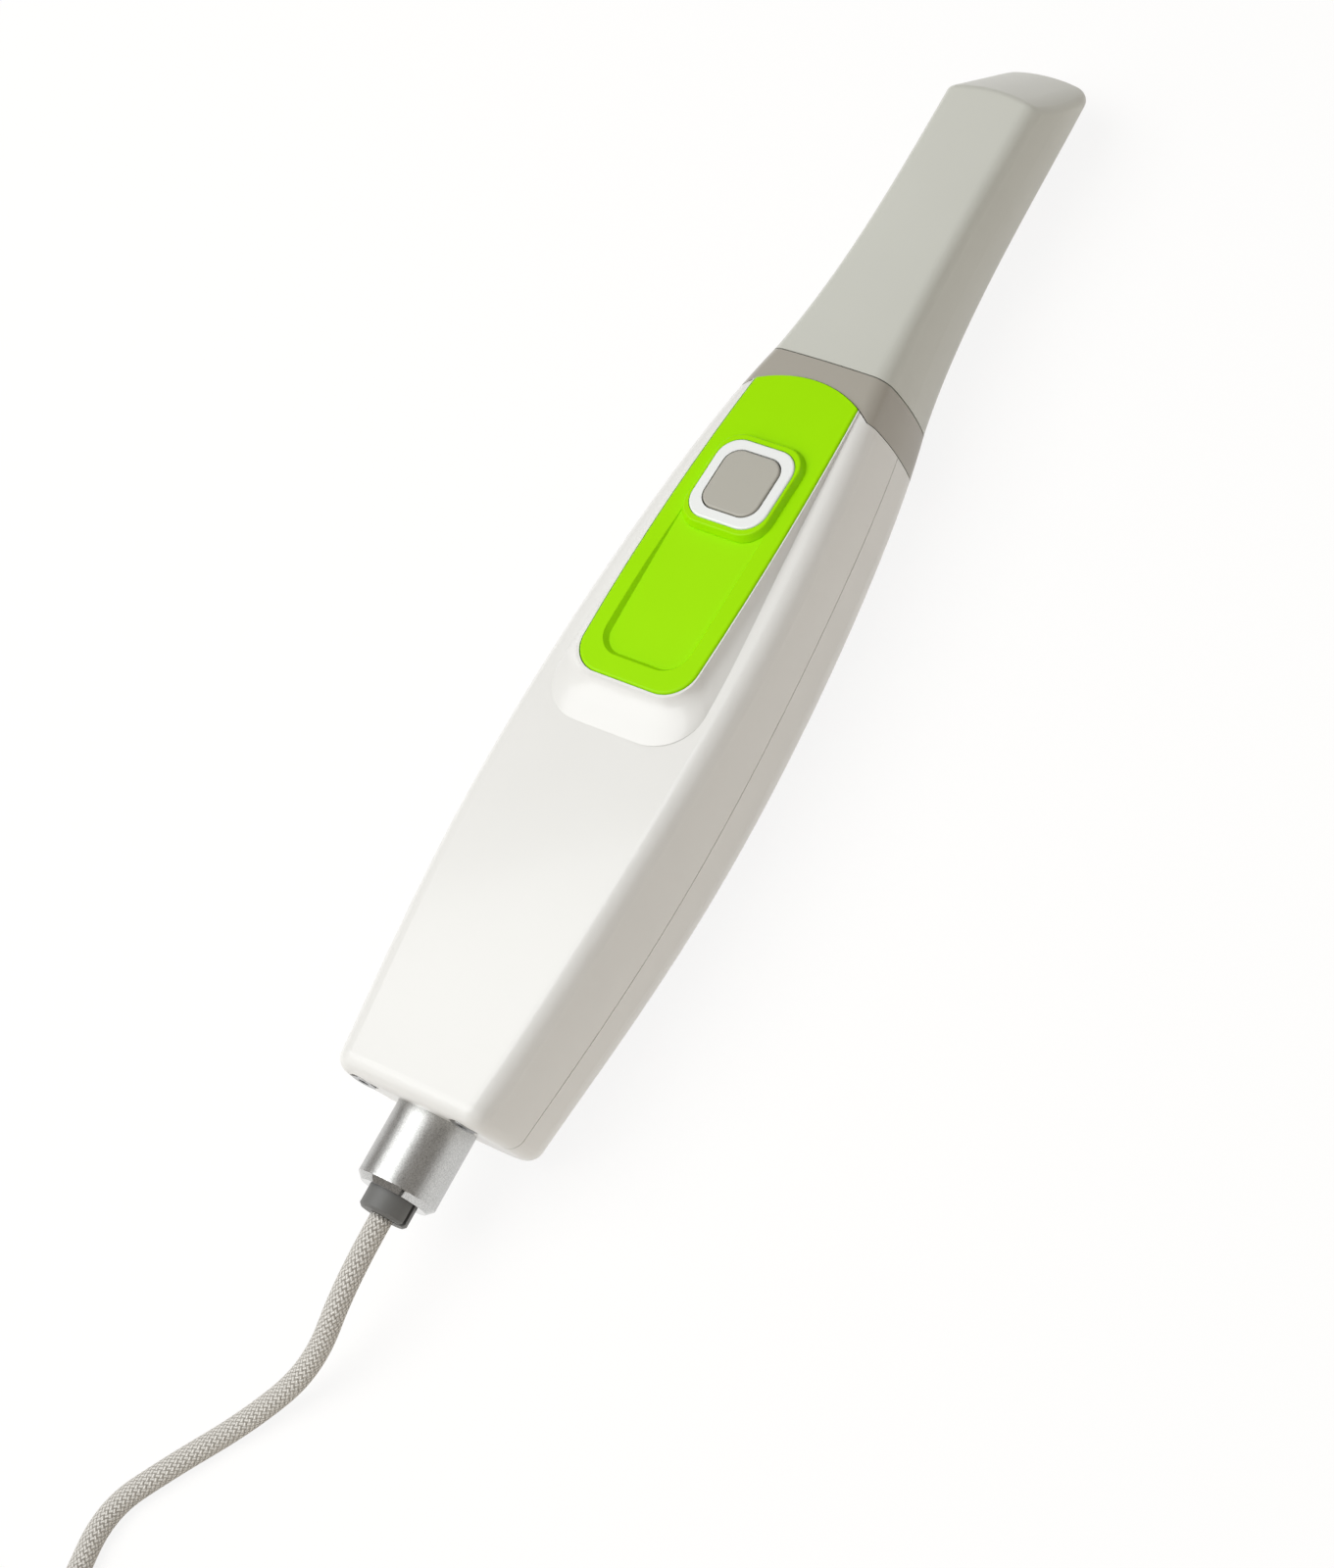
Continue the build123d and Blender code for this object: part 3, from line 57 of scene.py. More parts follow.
# Patterns of the finishes, in metres, and the roughness of a clear coat
MOULD_CLOUD = 0.018
METAL_CLOUD = 0.006
MIRROR_CLOUD = 0.004
LENS_CLOUD = 0.003
BOARD_CLOUD = 0.003
PAPER_CLOUD = 0.3
SLEEVE_BEAD = 0.00024
TRACK_PITCH = 0.0016
YARN_FIBRE = 0.0004
COAT_ROUGHNESS = 0.12

# Cord: the route that the solid follows, in metres
LEAD = [(-0.1316, 0.0, 0.0174), (-0.1450, 0.0, 0.0174), (-0.1605, 0.0036, 0.0068), (-0.1740, 0.0131, 0.0022),
        (-0.1885, 0.0234, 0.0022), (-0.2010, 0.0312, 0.0022), (-0.2170, 0.0290, 0.0023),
        (-0.2380, 0.0285, 0.0026)]
TAIL = [(-0.2745, 0.0242, 0.0184), (-0.2830, 0.0128, 0.0208), (-0.2840, -0.0008, 0.0219),
        (-0.2800, -0.0123, 0.0223), (-0.2710, -0.0184, 0.0224), (-0.2610, -0.0184, 0.0224)]
COIL_CENTRE = (-0.260, -0.001)
COIL_RADIUS = 0.025
COIL_COLUMNS = 3
COIL_LAYERS = 4
COIL_FLOOR = 0.0008

# Cord: its points and sides, and where in a turn, as a share of it, the coil climbs and shifts
POINTS_PER_TURN = 20
CORD_SIDES = 20
CLIMB_FROM = 0.72
SHIFT_FROM = 0.86
MOVE_SHARE = 0.12

# Floor: half its side and its height in metres, and the share and level of plain white in it
FLOOR_HALF = 4.0
FLOOR_HEIGHT = -0.0002
WHITE_SHARE = 0.86
WHITE_LEVEL = 1.02

# Softboxes: the name, the setting of its power, the place, the target and the side in metres, the colour
SOFTBOXES = (
    ("overhead", "key", (-0.20, 0.32, 0.95), (0.0, 0.0, 0.0), 0.9, (0.97, 0.99, 1.0)),
    ("left", "left", (-0.75, 0.55, 0.60), (0.0, 0.0, 0.02), 0.7, (0.98, 0.99, 1.0)),
    ("fill", "fill", (-0.65, -0.75, 0.55), (0.0, 0.0, 0.02), 0.8, (1.0, 0.92, 0.84)),
)

# Camera: lens and sensor height in millimetres, place in metres, and its three directions
LENS_MM = 91.125
SENSOR_MM = 36.0
CAMERA_PLACE = (-0.2078, -0.3958, 0.62605)
CAMERA_RIGHT = (0.4778, -0.7958, -0.3722)
CAMERA_UP = (0.8472, 0.3055, 0.4345)
CAMERA_BACK = (-0.2320, -0.5230, 0.8202)


def colour_setting(name, description, default):
    """A colour that a user may change, in linear values."""
    return bpy.props.FloatVectorProperty(name=name, description=description, default=default, size=3,
                                         min=0.0, max=1.0, subtype="COLOR")


def length_setting(name, description, default):
    """A length that a user may change, in metres."""
    return bpy.props.FloatProperty(name=name, description=description, default=default, min=0.0,
                                   unit="LENGTH")


def power_setting(name, description, default):
    """A lamp's power that a user may change, in watts."""
    return bpy.props.FloatProperty(name=name, description=description, default=default, min=0.0, unit="POWER")


class ScannerColours(bpy.types.PropertyGroup):
    """Colours of the wand's finishes."""

    shell: colour_setting("Shell", "White of the two handle halves", (0.83, 0.825, 0.80))
    panel: colour_setting("Panel", "Lime green of the control panel", (0.37, 0.82, 0.0))
    ring: colour_setting("Light ring", "White of the ring round the button", (0.90, 0.92, 0.91))
    cap: colour_setting("Button", "Warm grey of the scan button", (0.47, 0.455, 0.40))
    collar: colour_setting("Collar", "Taupe of the collar", (0.42, 0.395, 0.345))
    tip: colour_setting("Tip", "Sage grey of the scan tip", (0.62, 0.625, 0.57))
    sleeve: colour_setting("Sleeve", "Aluminium of the cable sleeve", (0.56, 0.56, 0.55))
    gland: colour_setting("Gland", "Grey of the slotted gland", (0.15, 0.15, 0.145))
    # Braid: the paler colour is the yarn's own, and the darker one is painted shade for the gaps between the
    # yarns
    yarn_light: colour_setting("Light yarn", "Paler yarn of the cord's braid", (0.95, 0.925, 0.87))
    yarn_painted_shade: colour_setting("Dark yarn", "Darker yarn of the cord's braid", (0.40, 0.37, 0.325))


class ScannerSizes(bpy.types.PropertyGroup):
    """Sizes of the pieces that are made here."""

    cord_diameter: length_setting("Cord diameter", "Outside of the braided cord", 0.0044)
    cord_length: length_setting("Cord length", "From the gland to the plug", 2.10)
    braid_pitch: length_setting("Braid pitch", "Length of one full turn of a yarn", 0.019)
    braid_yarns: bpy.props.IntProperty(name="Yarns", description="Yarns each way round the cord", default=15,
                                       min=1)


class ScannerStage(bpy.types.PropertyGroup):
    """Levels of the studio."""

    key: power_setting("Overhead", "Power of the overhead softbox", 8.1)
    left: power_setting("Left", "Power of the softbox on the left", 1.5)
    fill: power_setting("Fill", "Power of the softbox by the camera", 0.7)
    room: bpy.props.FloatProperty(name="Room", description="Level of the light from all round", default=0.31,
                                  min=0.0, max=1.0, subtype="FACTOR")


class Wire:
    """A shader socket: arithmetic on it adds Math nodes, and node() adds any other node."""

    def __init__(self, tree, socket):
        self.tree = tree
        self.socket = socket

    def node(self, kind, settings=None, inputs=None, out=0):
        """Adds a node, sets its settings, then its sockets' values or links; gives one output."""
        made = self.tree.nodes.new(kind)
        for key, value in (settings or {}).items():
            setattr(made, key, value)
        for key, value in (inputs or {}).items():
            if isinstance(value, Wire):
                self.tree.links.new(value.socket, made.inputs[key])
            else:
                made.inputs[key].default_value = value
        return Wire(self.tree, made.outputs[out])

    def maths(self, operation, *values):
        """One Math node on this value and others."""
        return self.node("ShaderNodeMath", {"operation": operation}, dict(enumerate(values)))

    def __add__(self, other):
        return self.maths("ADD", self, other)

    def __radd__(self, other):
        return self.maths("ADD", other, self)

    def __sub__(self, other):
        return self.maths("SUBTRACT", self, other)

    def __rsub__(self, other):
        return self.maths("SUBTRACT", other, self)

    def __mul__(self, other):
        return self.maths("MULTIPLY", self, other)

    def __truediv__(self, other):
        return self.maths("DIVIDE", self, other)

    def __gt__(self, other):
        return self.maths("GREATER_THAN", self, other)

    def __abs__(self):
        return self.maths("ABSOLUTE", self)

    def step(self, low, high):
        """Rises smoothly from 0 at low to 1 at high."""
        return self.node("ShaderNodeMapRange", {"interpolation_type": "SMOOTHSTEP"},
                         {"Value": self, "From Min": low, "From Max": high})

    def part(self, axis):
        """One coordinate of a vector."""
        return self.node("ShaderNodeSeparateXYZ", None, {0: self}, axis)

    def noise(self, size, detail=2.0, rough=0.5):
        """Cloudy pattern, 0 to 1, with blobs of about this size in metres."""
        inputs = {"Vector": self, "Scale": 1.0 / size, "Detail": detail, "Roughness": rough}
        return self.node("ShaderNodeTexNoise", None, inputs, "Fac")

    def tint(self, first, second):
        """Colour that goes from the first to the second as this value goes from 0 to 1."""
        pair = [value if isinstance(value, Wire) else (*value, 1.0) for value in (first, second)]
        return self.node("ShaderNodeMix", {"data_type": "RGBA"}, {0: self, 6: pair[0], 7: pair[1]}, 2)

    def bump(self, distance):
        """Normal that follows this value as a height of a distance in metres."""
        return self.node("ShaderNodeBump", None, {"Height": self, "Distance": distance})

    def to(self, shader, socket):
        """Links this value to one of a shader's sockets."""
        self.tree.links.new(self.socket, shader.inputs[socket])


def new_finish(name):
    """A material, its main shader and its object coordinates."""
    material = bpy.data.materials.new(name)
    material.use_nodes = True
    tree = material.node_tree
    shader = tree.nodes["Principled BSDF"]
    coordinates = tree.nodes.new("ShaderNodeTexCoord")
    return material, shader, Wire(tree, coordinates.outputs["Object"])


def scaled(colour, factor):
    """A colour made lighter or darker."""
    return tuple(min(1.0, channel * factor) for channel in colour)


def moulded(name, colour, roughness, grain=0.0006, depth=0.000004, cloud=0.03, coat=0.0, shine=0.5):
    """Moulded plastic: faint clouds in its colour and gloss, and a fine grain in its surface."""
    material, shader, place = new_finish(name)
    broad = place.noise(MOULD_CLOUD)
    fine = place.noise(grain, 3.0, 0.6)
    broad.tint(scaled(colour, 1 - cloud), scaled(colour, 1 + cloud)).to(shader, "Base Color")
    (roughness + (broad - 0.5) * 0.06 + (fine - 0.5) * 0.05).to(shader, "Roughness")
    fine.bump(depth).to(shader, "Normal")
    shader.inputs["Specular IOR Level"].default_value = shine
    shader.inputs["Coat Weight"].default_value = coat
    shader.inputs["Coat Roughness"].default_value = COAT_ROUGHNESS
    return material


def metal(name, colour, roughness, grain=0.0003, depth=0.00001):
    """Worked metal with a fine grain and slightly uneven gloss."""
    material, shader, place = new_finish(name)
    fine = place.noise(grain, 4.0, 0.65)
    broad = place.noise(METAL_CLOUD)
    broad.tint(scaled(colour, 0.95), scaled(colour, 1.04)).to(shader, "Base Color")
    (roughness + (fine - 0.5) * 0.16).to(shader, "Roughness")
    fine.bump(depth).to(shader, "Normal")
    shader.inputs["Metallic"].default_value = 1.0
    return material


def dress(material, *names):
    """Gives CAD pieces a finish."""
    for name in names:
        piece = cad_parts[name]
        if not piece.material_slots:
            piece.data.materials.append(material)
        for slot in piece.material_slots:
            slot.material = material


class SCANNER_OT_shells(bpy.types.Operator):
    """Finish of the two white handle halves"""

    bl_idname = "scanner.shells"
    bl_label = "Handle shells"

    def execute(self, context):
        colour = context.scene.scanner_colours.shell
        finish = moulded("shell_white", colour, 0.30, grain=0.0011, depth=0.0000025, cloud=0.012, coat=0.25)
        dress(finish, "upper_shell", "lower_shell")
        return {"FINISHED"}


class SCANNER_OT_panel(bpy.types.Operator):
    """Finishes of the green panel, the light ring and the scan button"""

    bl_idname = "scanner.panel"
    bl_label = "Panel and button"

    def execute(self, context):
        colours = context.scene.scanner_colours
        panel = moulded("panel_green", colours.panel, 0.32, grain=0.0008, depth=0.000002, shine=0.10)
        ring = moulded("ring_white", colours.ring, 0.34, depth=0.000002, cloud=0.012)
        cap = moulded("cap_grey", colours.cap, 0.46, grain=0.0004, cloud=0.02)
        dress(panel, "control_panel")
        dress(ring, "light_ring")
        dress(cap, "button_cap")
        return {"FINISHED"}


class SCANNER_OT_tip(bpy.types.Operator):
    """Finishes of the collar, the scan tip and its mirror"""

    bl_idname = "scanner.tip"
    bl_label = "Collar and tip"

    def execute(self, context):
        colours = context.scene.scanner_colours
        gloss = {"roughness": 0.30, "grain": 0.0007, "depth": 0.000002, "cloud": 0.02, "coat": 0.12}
        dress(moulded("collar_taupe", colours.collar, **gloss), "front_collar")
        dress(moulded("tip_sage", colours.tip, **gloss), "scan_tip")
        material, shader, place = new_finish("mirror_silver")
        haze = place.noise(MIRROR_CLOUD)
        haze.tint((0.86, 0.87, 0.88), (0.93, 0.94, 0.94)).to(shader, "Base Color")
        (0.02 + haze * 0.04).to(shader, "Roughness")
        shader.inputs["Metallic"].default_value = 1.0
        dress(material, "tip_mirror")
        return {"FINISHED"}


class SCANNER_OT_exit(bpy.types.Operator):
    """Finishes of the bead-blasted sleeve, the gland and the housing screws"""

    bl_idname = "scanner.exit"
    bl_label = "Cable exit"

    def execute(self, context):
        colours = context.scene.scanner_colours
        material, shader, place = new_finish("sleeve_blasted")
        beads = place.noise(SLEEVE_BEAD, 2.0, 0.6)
        chamfer = SLEEVE_END + SLEEVE_CHAMFER
        end = place.part(0).step(chamfer + CHAMFER_BLEND, chamfer)
        sparkle = beads.step(0.30, 0.70)
        sparkle.tint(scaled(colours.sleeve, 0.80), scaled(colours.sleeve, 1.15)).to(shader, "Base Color")
        (0.32 + (beads - 0.5) * 0.20 - end * 0.24).to(shader, "Roughness")
        (beads * (1 - end)).bump(0.00005).to(shader, "Normal")
        shader.inputs["Metallic"].default_value = 1.0
        dress(material, "cable_sleeve")
        gland = moulded("gland_grey", colours.gland, 0.5, grain=0.0005, depth=0.00001, cloud=0.06)
        dress(gland, "cable_gland")
        screws = [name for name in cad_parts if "screw" in name]
        dress(metal("screw_plated", (0.42, 0.42, 0.42), 0.32), *screws)
        return {"FINISHED"}


class SCANNER_OT_inside(bpy.types.Operator):
    """Finishes of the optics, the tray and the boards"""

    bl_idname = "scanner.inside"
    bl_label = "Inner pieces"

    def execute(self, context):
        dress(moulded("snout_black", (0.03, 0.03, 0.032), 0.55, depth=0.00001, cloud=0.1),
              "nose_tube", "optics_block")
        dress(moulded("ring_rubber", (0.025, 0.025, 0.025), 0.7, depth=0.00001, cloud=0.1), "grip_ring")
        dress(metal("barrel_anodised", (0.05, 0.05, 0.052), 0.4), "camera_barrel", "projector_barrel")
        dress(metal("tray_milled", (0.62, 0.62, 0.61), 0.35), "chassis", "heat_spreader", "sleeve_nut")
        dress(moulded("chip_epoxy", (0.02, 0.02, 0.021), 0.5, depth=0.000006, cloud=0.1),
              "processor", "memory_chip", "image_sensor", "tact_switch", "board_connector", "lead_plug")
        dress(moulded("lead_jacket", (0.22, 0.22, 0.21), 0.5, cloud=0.05), "inner_lead")
        dress(moulded("lamp_phosphor", (0.80, 0.76, 0.50), 0.35, cloud=0.08),
              "status_led_1", "status_led_2", "status_led_3", "status_led_4", "projector_led")
        material, shader, place = new_finish("board_mask")
        across = place.part(1) / TRACK_PITCH
        tracks = abs(across.maths("FRACT", across) - 0.5).step(0.18, 0.24)
        cloud = place.noise(BOARD_CLOUD)
        tint = cloud.tint((0.012, 0.085, 0.04), (0.02, 0.12, 0.055))
        tracks.tint((0.03, 0.17, 0.075), tint).to(shader, "Base Color")
        (0.3 + cloud * 0.1).to(shader, "Roughness")
        tracks.bump(0.00003).to(shader, "Normal")
        dress(material, "main_board", "button_board", "sensor_board", "led_board")
        material, shader, place = new_finish("lens_glass")
        coating = place.noise(LENS_CLOUD)
        coating.tint((0.80, 0.88, 0.95), (0.90, 0.86, 0.95)).to(shader, "Base Color")
        (0.02 + coating * 0.03).to(shader, "Roughness")
        shader.inputs["Transmission Weight"].default_value = 1.0
        shader.inputs["IOR"].default_value = 1.5
        dress(material, "nose_window", "camera_lens", "projector_lens", "pattern_slide")
        return {"FINISHED"}


def coil_points(diameter):
    """Turns of the coil: column by column inwards, then outwards, layer on layer.

    Each turn keeps one radius and height for three quarters of its way, climbs to the next layer
    where it is the last of its layer, then moves over to the next column.
    """
    columns = np.arange(COIL_COLUMNS)
    order = np.concatenate([columns[::-1] if layer % 2 == 0 else columns for layer in range(COIL_LAYERS)])
    layers = np.repeat(np.arange(COIL_LAYERS), COIL_COLUMNS)
    radius = COIL_RADIUS + (order - (COIL_COLUMNS - 1) / 2) * diameter
    height = COIL_FLOOR + (layers + 0.5) * diameter
    turns = len(order)
    along = np.arange(turns * POINTS_PER_TURN) / POINTS_PER_TURN
    turn = along.astype(int)
    phase = along - turn
    following = np.minimum(turn + 1, turns - 1)
    climb = np.clip((phase - CLIMB_FROM) / MOVE_SHARE, 0, 1)
    shift = np.clip((phase - SHIFT_FROM) / MOVE_SHARE, 0, 1)
    r = radius[turn] + (radius[following] - radius[turn]) * shift
    z = height[turn] + (height[following] - height[turn]) * climb
    # The spline runs a little inside its control points, so these lie a little outside the turn
    r = r / (0.75 + 0.25 * np.cos(2 * np.pi / POINTS_PER_TURN))
    angle = np.pi / 2 + 2 * np.pi * along
    return np.column_stack([COIL_CENTRE[0] + r * np.cos(angle), COIL_CENTRE[1] + r * np.sin(angle), z])


def spline_points(route):
    """Points along one smooth NURBS spline that has the route as its control points."""
    curve = bpy.data.curves.new("cord_line", "CURVE")
    curve.dimensions = "3D"
    spline = curve.splines.new("NURBS")
    spline.points.add(len(route) - 1)
    spline.points.foreach_set("co", np.column_stack([route, np.ones(len(route))]).ravel())
    spline.order_u = 3
    spline.use_endpoint_u = True
    spline.resolution_u = 8
    line = bpy.data.objects.new("cord_line", curve)
    mesh = bpy.data.meshes.new_from_object(line)
    points = np.empty(len(mesh.vertices) * 3)
    mesh.vertices.foreach_get("co", points)
    bpy.data.objects.remove(line)
    bpy.data.curves.remove(curve)
    bpy.data.meshes.remove(mesh)
    return points.reshape(-1, 3)


def evenly(points, spacing):
    """The same line with points at even spacing, and the distance along it of each."""
    runs = np.linalg.norm(np.diff(points, axis=0), axis=1)
    points = points[np.concatenate([[True], runs > 1e-7])]
    distance = np.concatenate([[0.0], np.cumsum(np.linalg.norm(np.diff(points, axis=0), axis=1))])
    count = int(round(distance[-1] / spacing)) + 1
    wanted = np.linspace(0.0, distance[-1], count)
    return np.column_stack([np.interp(wanted, distance, points[:, axis]) for axis in range(3)]), wanted


def tube_mesh(name, line, distance, radius, sides):
    """Closed tube: a circle carried along the line, square to it, with a flat end at each end.

    A point is the line's point plus radius times (cosine of the angle times the level sideways
    direction plus sine of the angle times the direction square to both). The map's first value is
    the distance along the line and its second the share of the way round.
    """
    rings = len(line)
    tangent = np.gradient(line, axis=0)
    tangent /= np.linalg.norm(tangent, axis=1, keepdims=True)
    side = np.cross([0.0, 0.0, 1.0], tangent)
    side /= np.linalg.norm(side, axis=1, keepdims=True)
    lift = np.cross(tangent, side)
    angle = 2 * np.pi * np.arange(sides) / sides
    around = np.cos(angle)[None, :, None] * side[:, None] + np.sin(angle)[None, :, None] * lift[:, None]
    vertices = (line[:, None] + radius * around).reshape(-1, 3)
    vertices = np.vstack([vertices, line[:1], line[-1:]])
    i, j = np.meshgrid(np.arange(rings - 1), np.arange(sides), indexing="ij")
    i, j = i.ravel(), j.ravel()
    k = (j + 1) % sides
    walls = np.column_stack([i * sides + j, i * sides + k, (i + 1) * sides + k, (i + 1) * sides + j])
    start, end = rings * sides, rings * sides + 1
    first = np.arange(sides)
    second = (first + 1) % sides
    caps = np.vstack([np.column_stack([np.full(sides, start), second, first]),
                      np.column_stack([np.full(sides, end), first + (rings - 1) * sides,
                                       second + (rings - 1) * sides])])
    mesh = bpy.data.meshes.new(name)
    mesh.from_pydata(vertices.tolist(), [], walls.tolist() + caps.tolist())
    share = np.column_stack([j, j + 1, j + 1, j]) / sides
    length = np.column_stack([distance[i], distance[i], distance[i + 1], distance[i + 1]])
    cap_map = np.zeros((len(caps) * 3, 2))
    cap_map[len(caps) * 3 // 2:, 0] = distance[-1]
    values = np.vstack([np.column_stack([length.ravel(), share.ravel()]), cap_map])
    layer = mesh.uv_layers.new(name="braid")
    layer.data.foreach_set("uv", values.ravel())
    smooth = np.arange(len(walls) + len(caps)) < len(walls)
    mesh.polygons.foreach_set("use_smooth", smooth)
    mesh.update()
    return mesh


def braid(name, light, painted_gap_shade, pitch, yarns):
    """Woven sleeve: two sets of slanting yarns that pass over and under each other.

    A yarn's height rises and falls once across its width; the sum of the two sets' yarn numbers,
    odd or even, says which set lies on top. The colour follows the height, as painted shade that
    darkens the gaps between the yarns.
    """
    material, shader, place = new_finish(name)
    chart = place.node("ShaderNodeUVMap", {"uv_map": "braid"})
    turn = chart.part(0) / pitch
    share = chart.part(1)
    right = (share + turn) * yarns
    left = (share - turn) * yarns
    right_yarn = right.maths("PINGPONG", right, 0.5) * 2
    left_yarn = left.maths("PINGPONG", left, 0.5) * 2
    over = right.maths("FRACT", (right.maths("FLOOR", right) + left.maths("FLOOR", left)) / 2) > 0.25
    height = over * right_yarn + (1 - over) * left_yarn
    strands = place.noise(YARN_FIBRE)
    # Painted shade: the colour darkens from the yarns' crests down into the gaps between them
    painted_shading = (height * 0.8 + strands * 0.2).step(0.10, 0.75)
    painted_shading.tint(painted_gap_shade, light).to(shader, "Base Color")
    (0.78 + strands * 0.15).to(shader, "Roughness")
    (height + strands * 0.2).bump(0.0003).to(shader, "Normal")
    shader.inputs["Sheen Weight"].default_value = 0.25
    return material


class SCANNER_OT_cord(bpy.types.Operator):
    """Braided cord with its put-away coil, its tie and its plug"""

    bl_idname = "scanner.cord"
    bl_label = "Cord and plug"

    def execute(self, context):
        colours = context.scene.scanner_colours
        sizes = context.scene.scanner_sizes
        radius = sizes.cord_diameter / 2
        route = np.vstack([LEAD, coil_points(sizes.cord_diameter), TAIL])
        line, distance = evenly(spline_points(route), sizes.cord_diameter / 4)
        mesh = tube_mesh("braided_cord", line, distance, radius, CORD_SIDES)
        cord = bpy.data.objects.new("braided_cord", mesh)
        context.scene.collection.objects.link(cord)
        yarns = (colours.yarn_light, colours.yarn_painted_shade)
        weave = braid("cord_braid", *yarns, sizes.braid_pitch, sizes.braid_yarns)
        mesh.materials.append(weave)
        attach(cord, "handle")
        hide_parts("cable", "cable_coil", "cable_tail")
        tie = moulded("tie_woven", (0.03, 0.03, 0.032), 0.8, grain=0.0007, depth=0.0001, cloud=0.3)
        dress(tie, "cable_tie")
        plug = moulded("plug_moulded", (0.05, 0.05, 0.052), 0.5, depth=0.00001, cloud=0.08)
        dress(plug, "plug_body", "plug_tongue")
        dress(metal("plug_nickel", (0.66, 0.65, 0.62), 0.24), "plug_shell")
        return {"FINISHED"}


def lamp(context, name, place, target, size, watts, colour):
    """Square softbox that shines from a place towards a target."""
    light = bpy.data.lights.new(name, "AREA")
    light.energy = watts
    light.size = size
    light.color = colour
    holder = bpy.data.objects.new(name, light)
    context.scene.collection.objects.link(holder)
    away = np.array(place) - np.array(target)
    holder.matrix_world = Matrix.Translation(place) @ aim(away)


def aim(away):
    """Turn whose third axis points along a direction and whose first axis is level."""
    third = away / np.linalg.norm(away)
    first = np.cross([0.0, 0.0, 1.0], third)
    first /= np.linalg.norm(first)
    second = np.cross(third, first)
    return Matrix(np.column_stack([first, second, third]).tolist()).to_4x4()


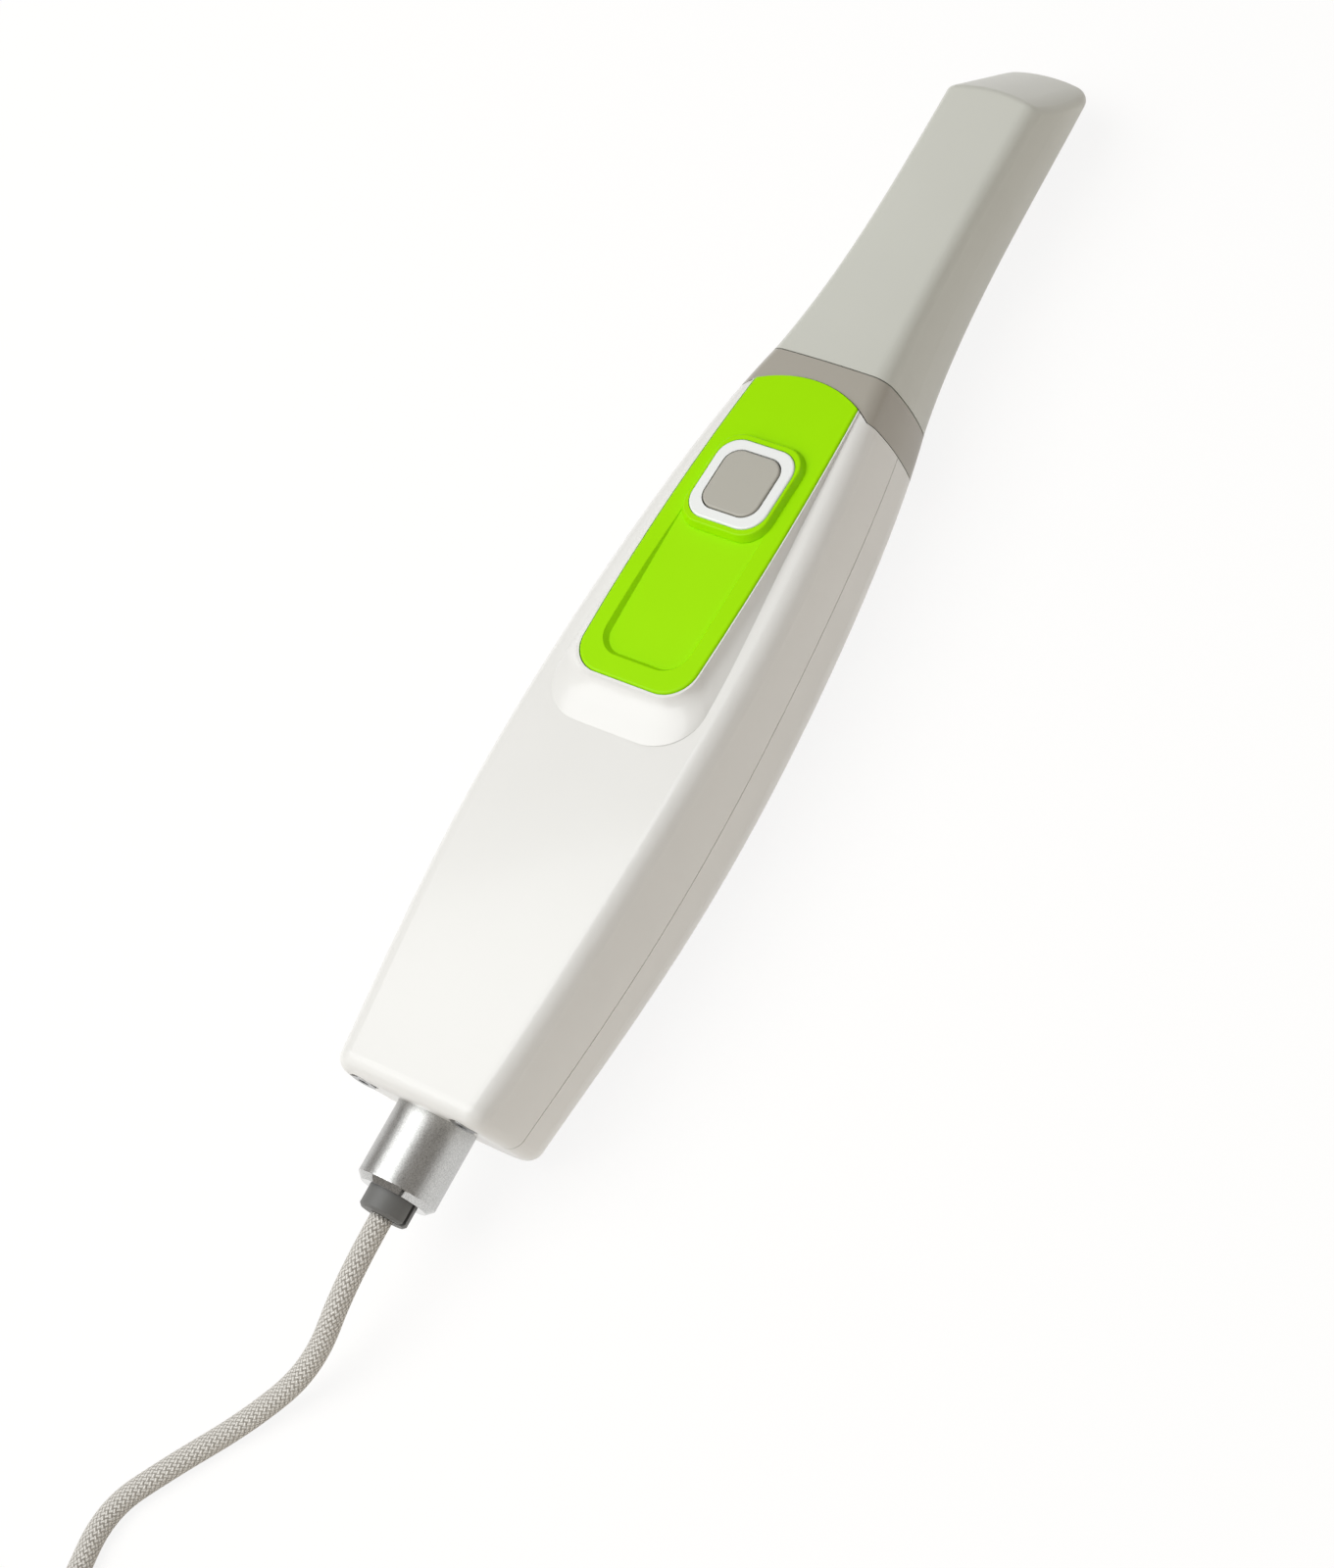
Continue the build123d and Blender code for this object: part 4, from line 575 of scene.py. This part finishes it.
class SCANNER_OT_stage(bpy.types.Operator):
    """Pale floor, soft studio light and the camera"""

    bl_idname = "scanner.stage"
    bl_label = "Studio"

    def execute(self, context):
        scene = context.scene
        levels = scene.scanner_stage
        scene.view_settings.view_transform = "Standard"
        self.floor(scene)
        self.room(scene, levels.room)
        for name, level, place, target, size, colour in SOFTBOXES:
            lamp(context, name, place, target, size, getattr(levels, level), colour)
        self.camera(scene)
        return {"FINISHED"}

    def floor(self, scene):
        """Wide sheet just under the object; part of what the camera sees of it is plain white."""
        mesh = bpy.data.meshes.new("floor")
        corners = FLOOR_HALF * np.array([(-1, -1), (1, -1), (1, 1), (-1, 1)])
        mesh.from_pydata(np.column_stack([corners, np.full(4, FLOOR_HEIGHT)]).tolist(), [], [(0, 1, 2, 3)])
        floor = bpy.data.objects.new("floor", mesh)
        scene.collection.objects.link(floor)
        material, shader, place = new_finish("floor_paper")
        cloud = place.noise(PAPER_CLOUD)
        cloud.tint((0.93, 0.89, 0.83), (0.94, 0.90, 0.84)).to(shader, "Base Color")
        (0.85 + cloud * 0.1).to(shader, "Roughness")
        shader.inputs["Specular IOR Level"].default_value = 0.1
        tree = material.node_tree
        path = tree.nodes.new("ShaderNodeLightPath")
        seen = Wire(tree, path.outputs["Is Camera Ray"])
        seen = seen.maths("MAXIMUM", seen, Wire(tree, path.outputs["Is Glossy Ray"]))
        seen = seen.maths("MAXIMUM", seen, Wire(tree, path.outputs["Is Transmission Ray"]))
        plain = {"Color": (1.0, 1.0, 1.0, 1.0), "Strength": WHITE_LEVEL}
        white = seen.node("ShaderNodeEmission", None, plain)
        paper = Wire(tree, shader.outputs[0])
        mixed = seen.node("ShaderNodeMixShader", None, {0: seen * WHITE_SHARE, 1: paper, 2: white})
        tree.links.new(mixed.socket, tree.nodes["Material Output"].inputs["Surface"])
        mesh.materials.append(material)

    def room(self, scene, level):
        """Even light from all round, and plain white where the camera, or glass, looks past the floor."""
        world = bpy.data.worlds.new("studio")
        world.use_nodes = True
        tree = world.node_tree
        lit = tree.nodes["Background"]
        lit.inputs["Color"].default_value = (1.0, 0.945, 0.88, 1.0)
        lit.inputs["Strength"].default_value = level
        path = tree.nodes.new("ShaderNodeLightPath")
        seen = Wire(tree, path.outputs["Is Camera Ray"])
        seen = seen.maths("MAXIMUM", seen, Wire(tree, path.outputs["Is Transmission Ray"]))
        white = seen.node("ShaderNodeBackground", None, {"Color": (1.0, 1.0, 1.0, 1.0), "Strength": 1.0})
        mixed = seen.node("ShaderNodeMixShader", None, {0: seen, 1: Wire(tree, lit.outputs[0]), 2: white})
        tree.links.new(mixed.socket, tree.nodes["World Output"].inputs["Surface"])
        scene.world = world

    def camera(self, scene):
        """Camera whose right, up and backward directions are the columns of its turn."""
        data = bpy.data.cameras.new("camera")
        data.sensor_fit = "VERTICAL"
        data.sensor_height = SENSOR_MM
        data.lens = LENS_MM
        data.clip_start = 0.01
        camera = bpy.data.objects.new("camera", data)
        scene.collection.objects.link(camera)
        turn = np.column_stack([CAMERA_RIGHT, CAMERA_UP, CAMERA_BACK])
        camera.matrix_world = Matrix.Translation(CAMERA_PLACE) @ Matrix(turn.tolist()).to_4x4()
        scene.camera = camera


class SCANNER_PT_panel(bpy.types.Panel):
    """Lists the scanner's pieces and settings"""

    bl_idname = "SCANNER_PT_panel"
    bl_label = "Scanner"
    bl_space_type = "VIEW_3D"
    bl_region_type = "UI"
    bl_category = "Scanner"

    def draw(self, context):
        for operator in OPERATORS:
            self.layout.operator(operator.bl_idname)
        scene = context.scene
        for settings in (scene.scanner_colours, scene.scanner_sizes, scene.scanner_stage):
            for name in settings.__annotations__:
                self.layout.prop(settings, name)


SETTINGS = (ScannerColours, ScannerSizes, ScannerStage)
OPERATORS = (SCANNER_OT_shells, SCANNER_OT_panel, SCANNER_OT_tip, SCANNER_OT_exit, SCANNER_OT_inside,
             SCANNER_OT_cord, SCANNER_OT_stage)


def register():
    for item in SETTINGS + OPERATORS + (SCANNER_PT_panel,):
        bpy.utils.register_class(item)
    bpy.types.Scene.scanner_colours = bpy.props.PointerProperty(type=ScannerColours)
    bpy.types.Scene.scanner_sizes = bpy.props.PointerProperty(type=ScannerSizes)
    bpy.types.Scene.scanner_stage = bpy.props.PointerProperty(type=ScannerStage)


def unregister():
    del bpy.types.Scene.scanner_stage
    del bpy.types.Scene.scanner_sizes
    del bpy.types.Scene.scanner_colours
    for item in reversed(SETTINGS + OPERATORS + (SCANNER_PT_panel,)):
        bpy.utils.unregister_class(item)


def main():
    register()
    bpy.ops.scanner.shells()
    bpy.ops.scanner.panel()
    bpy.ops.scanner.tip()
    bpy.ops.scanner.exit()
    bpy.ops.scanner.inside()
    bpy.ops.scanner.cord()
    bpy.ops.scanner.stage()
    bpy.context.view_layer.update()


if __name__ == "__main__":
    main()
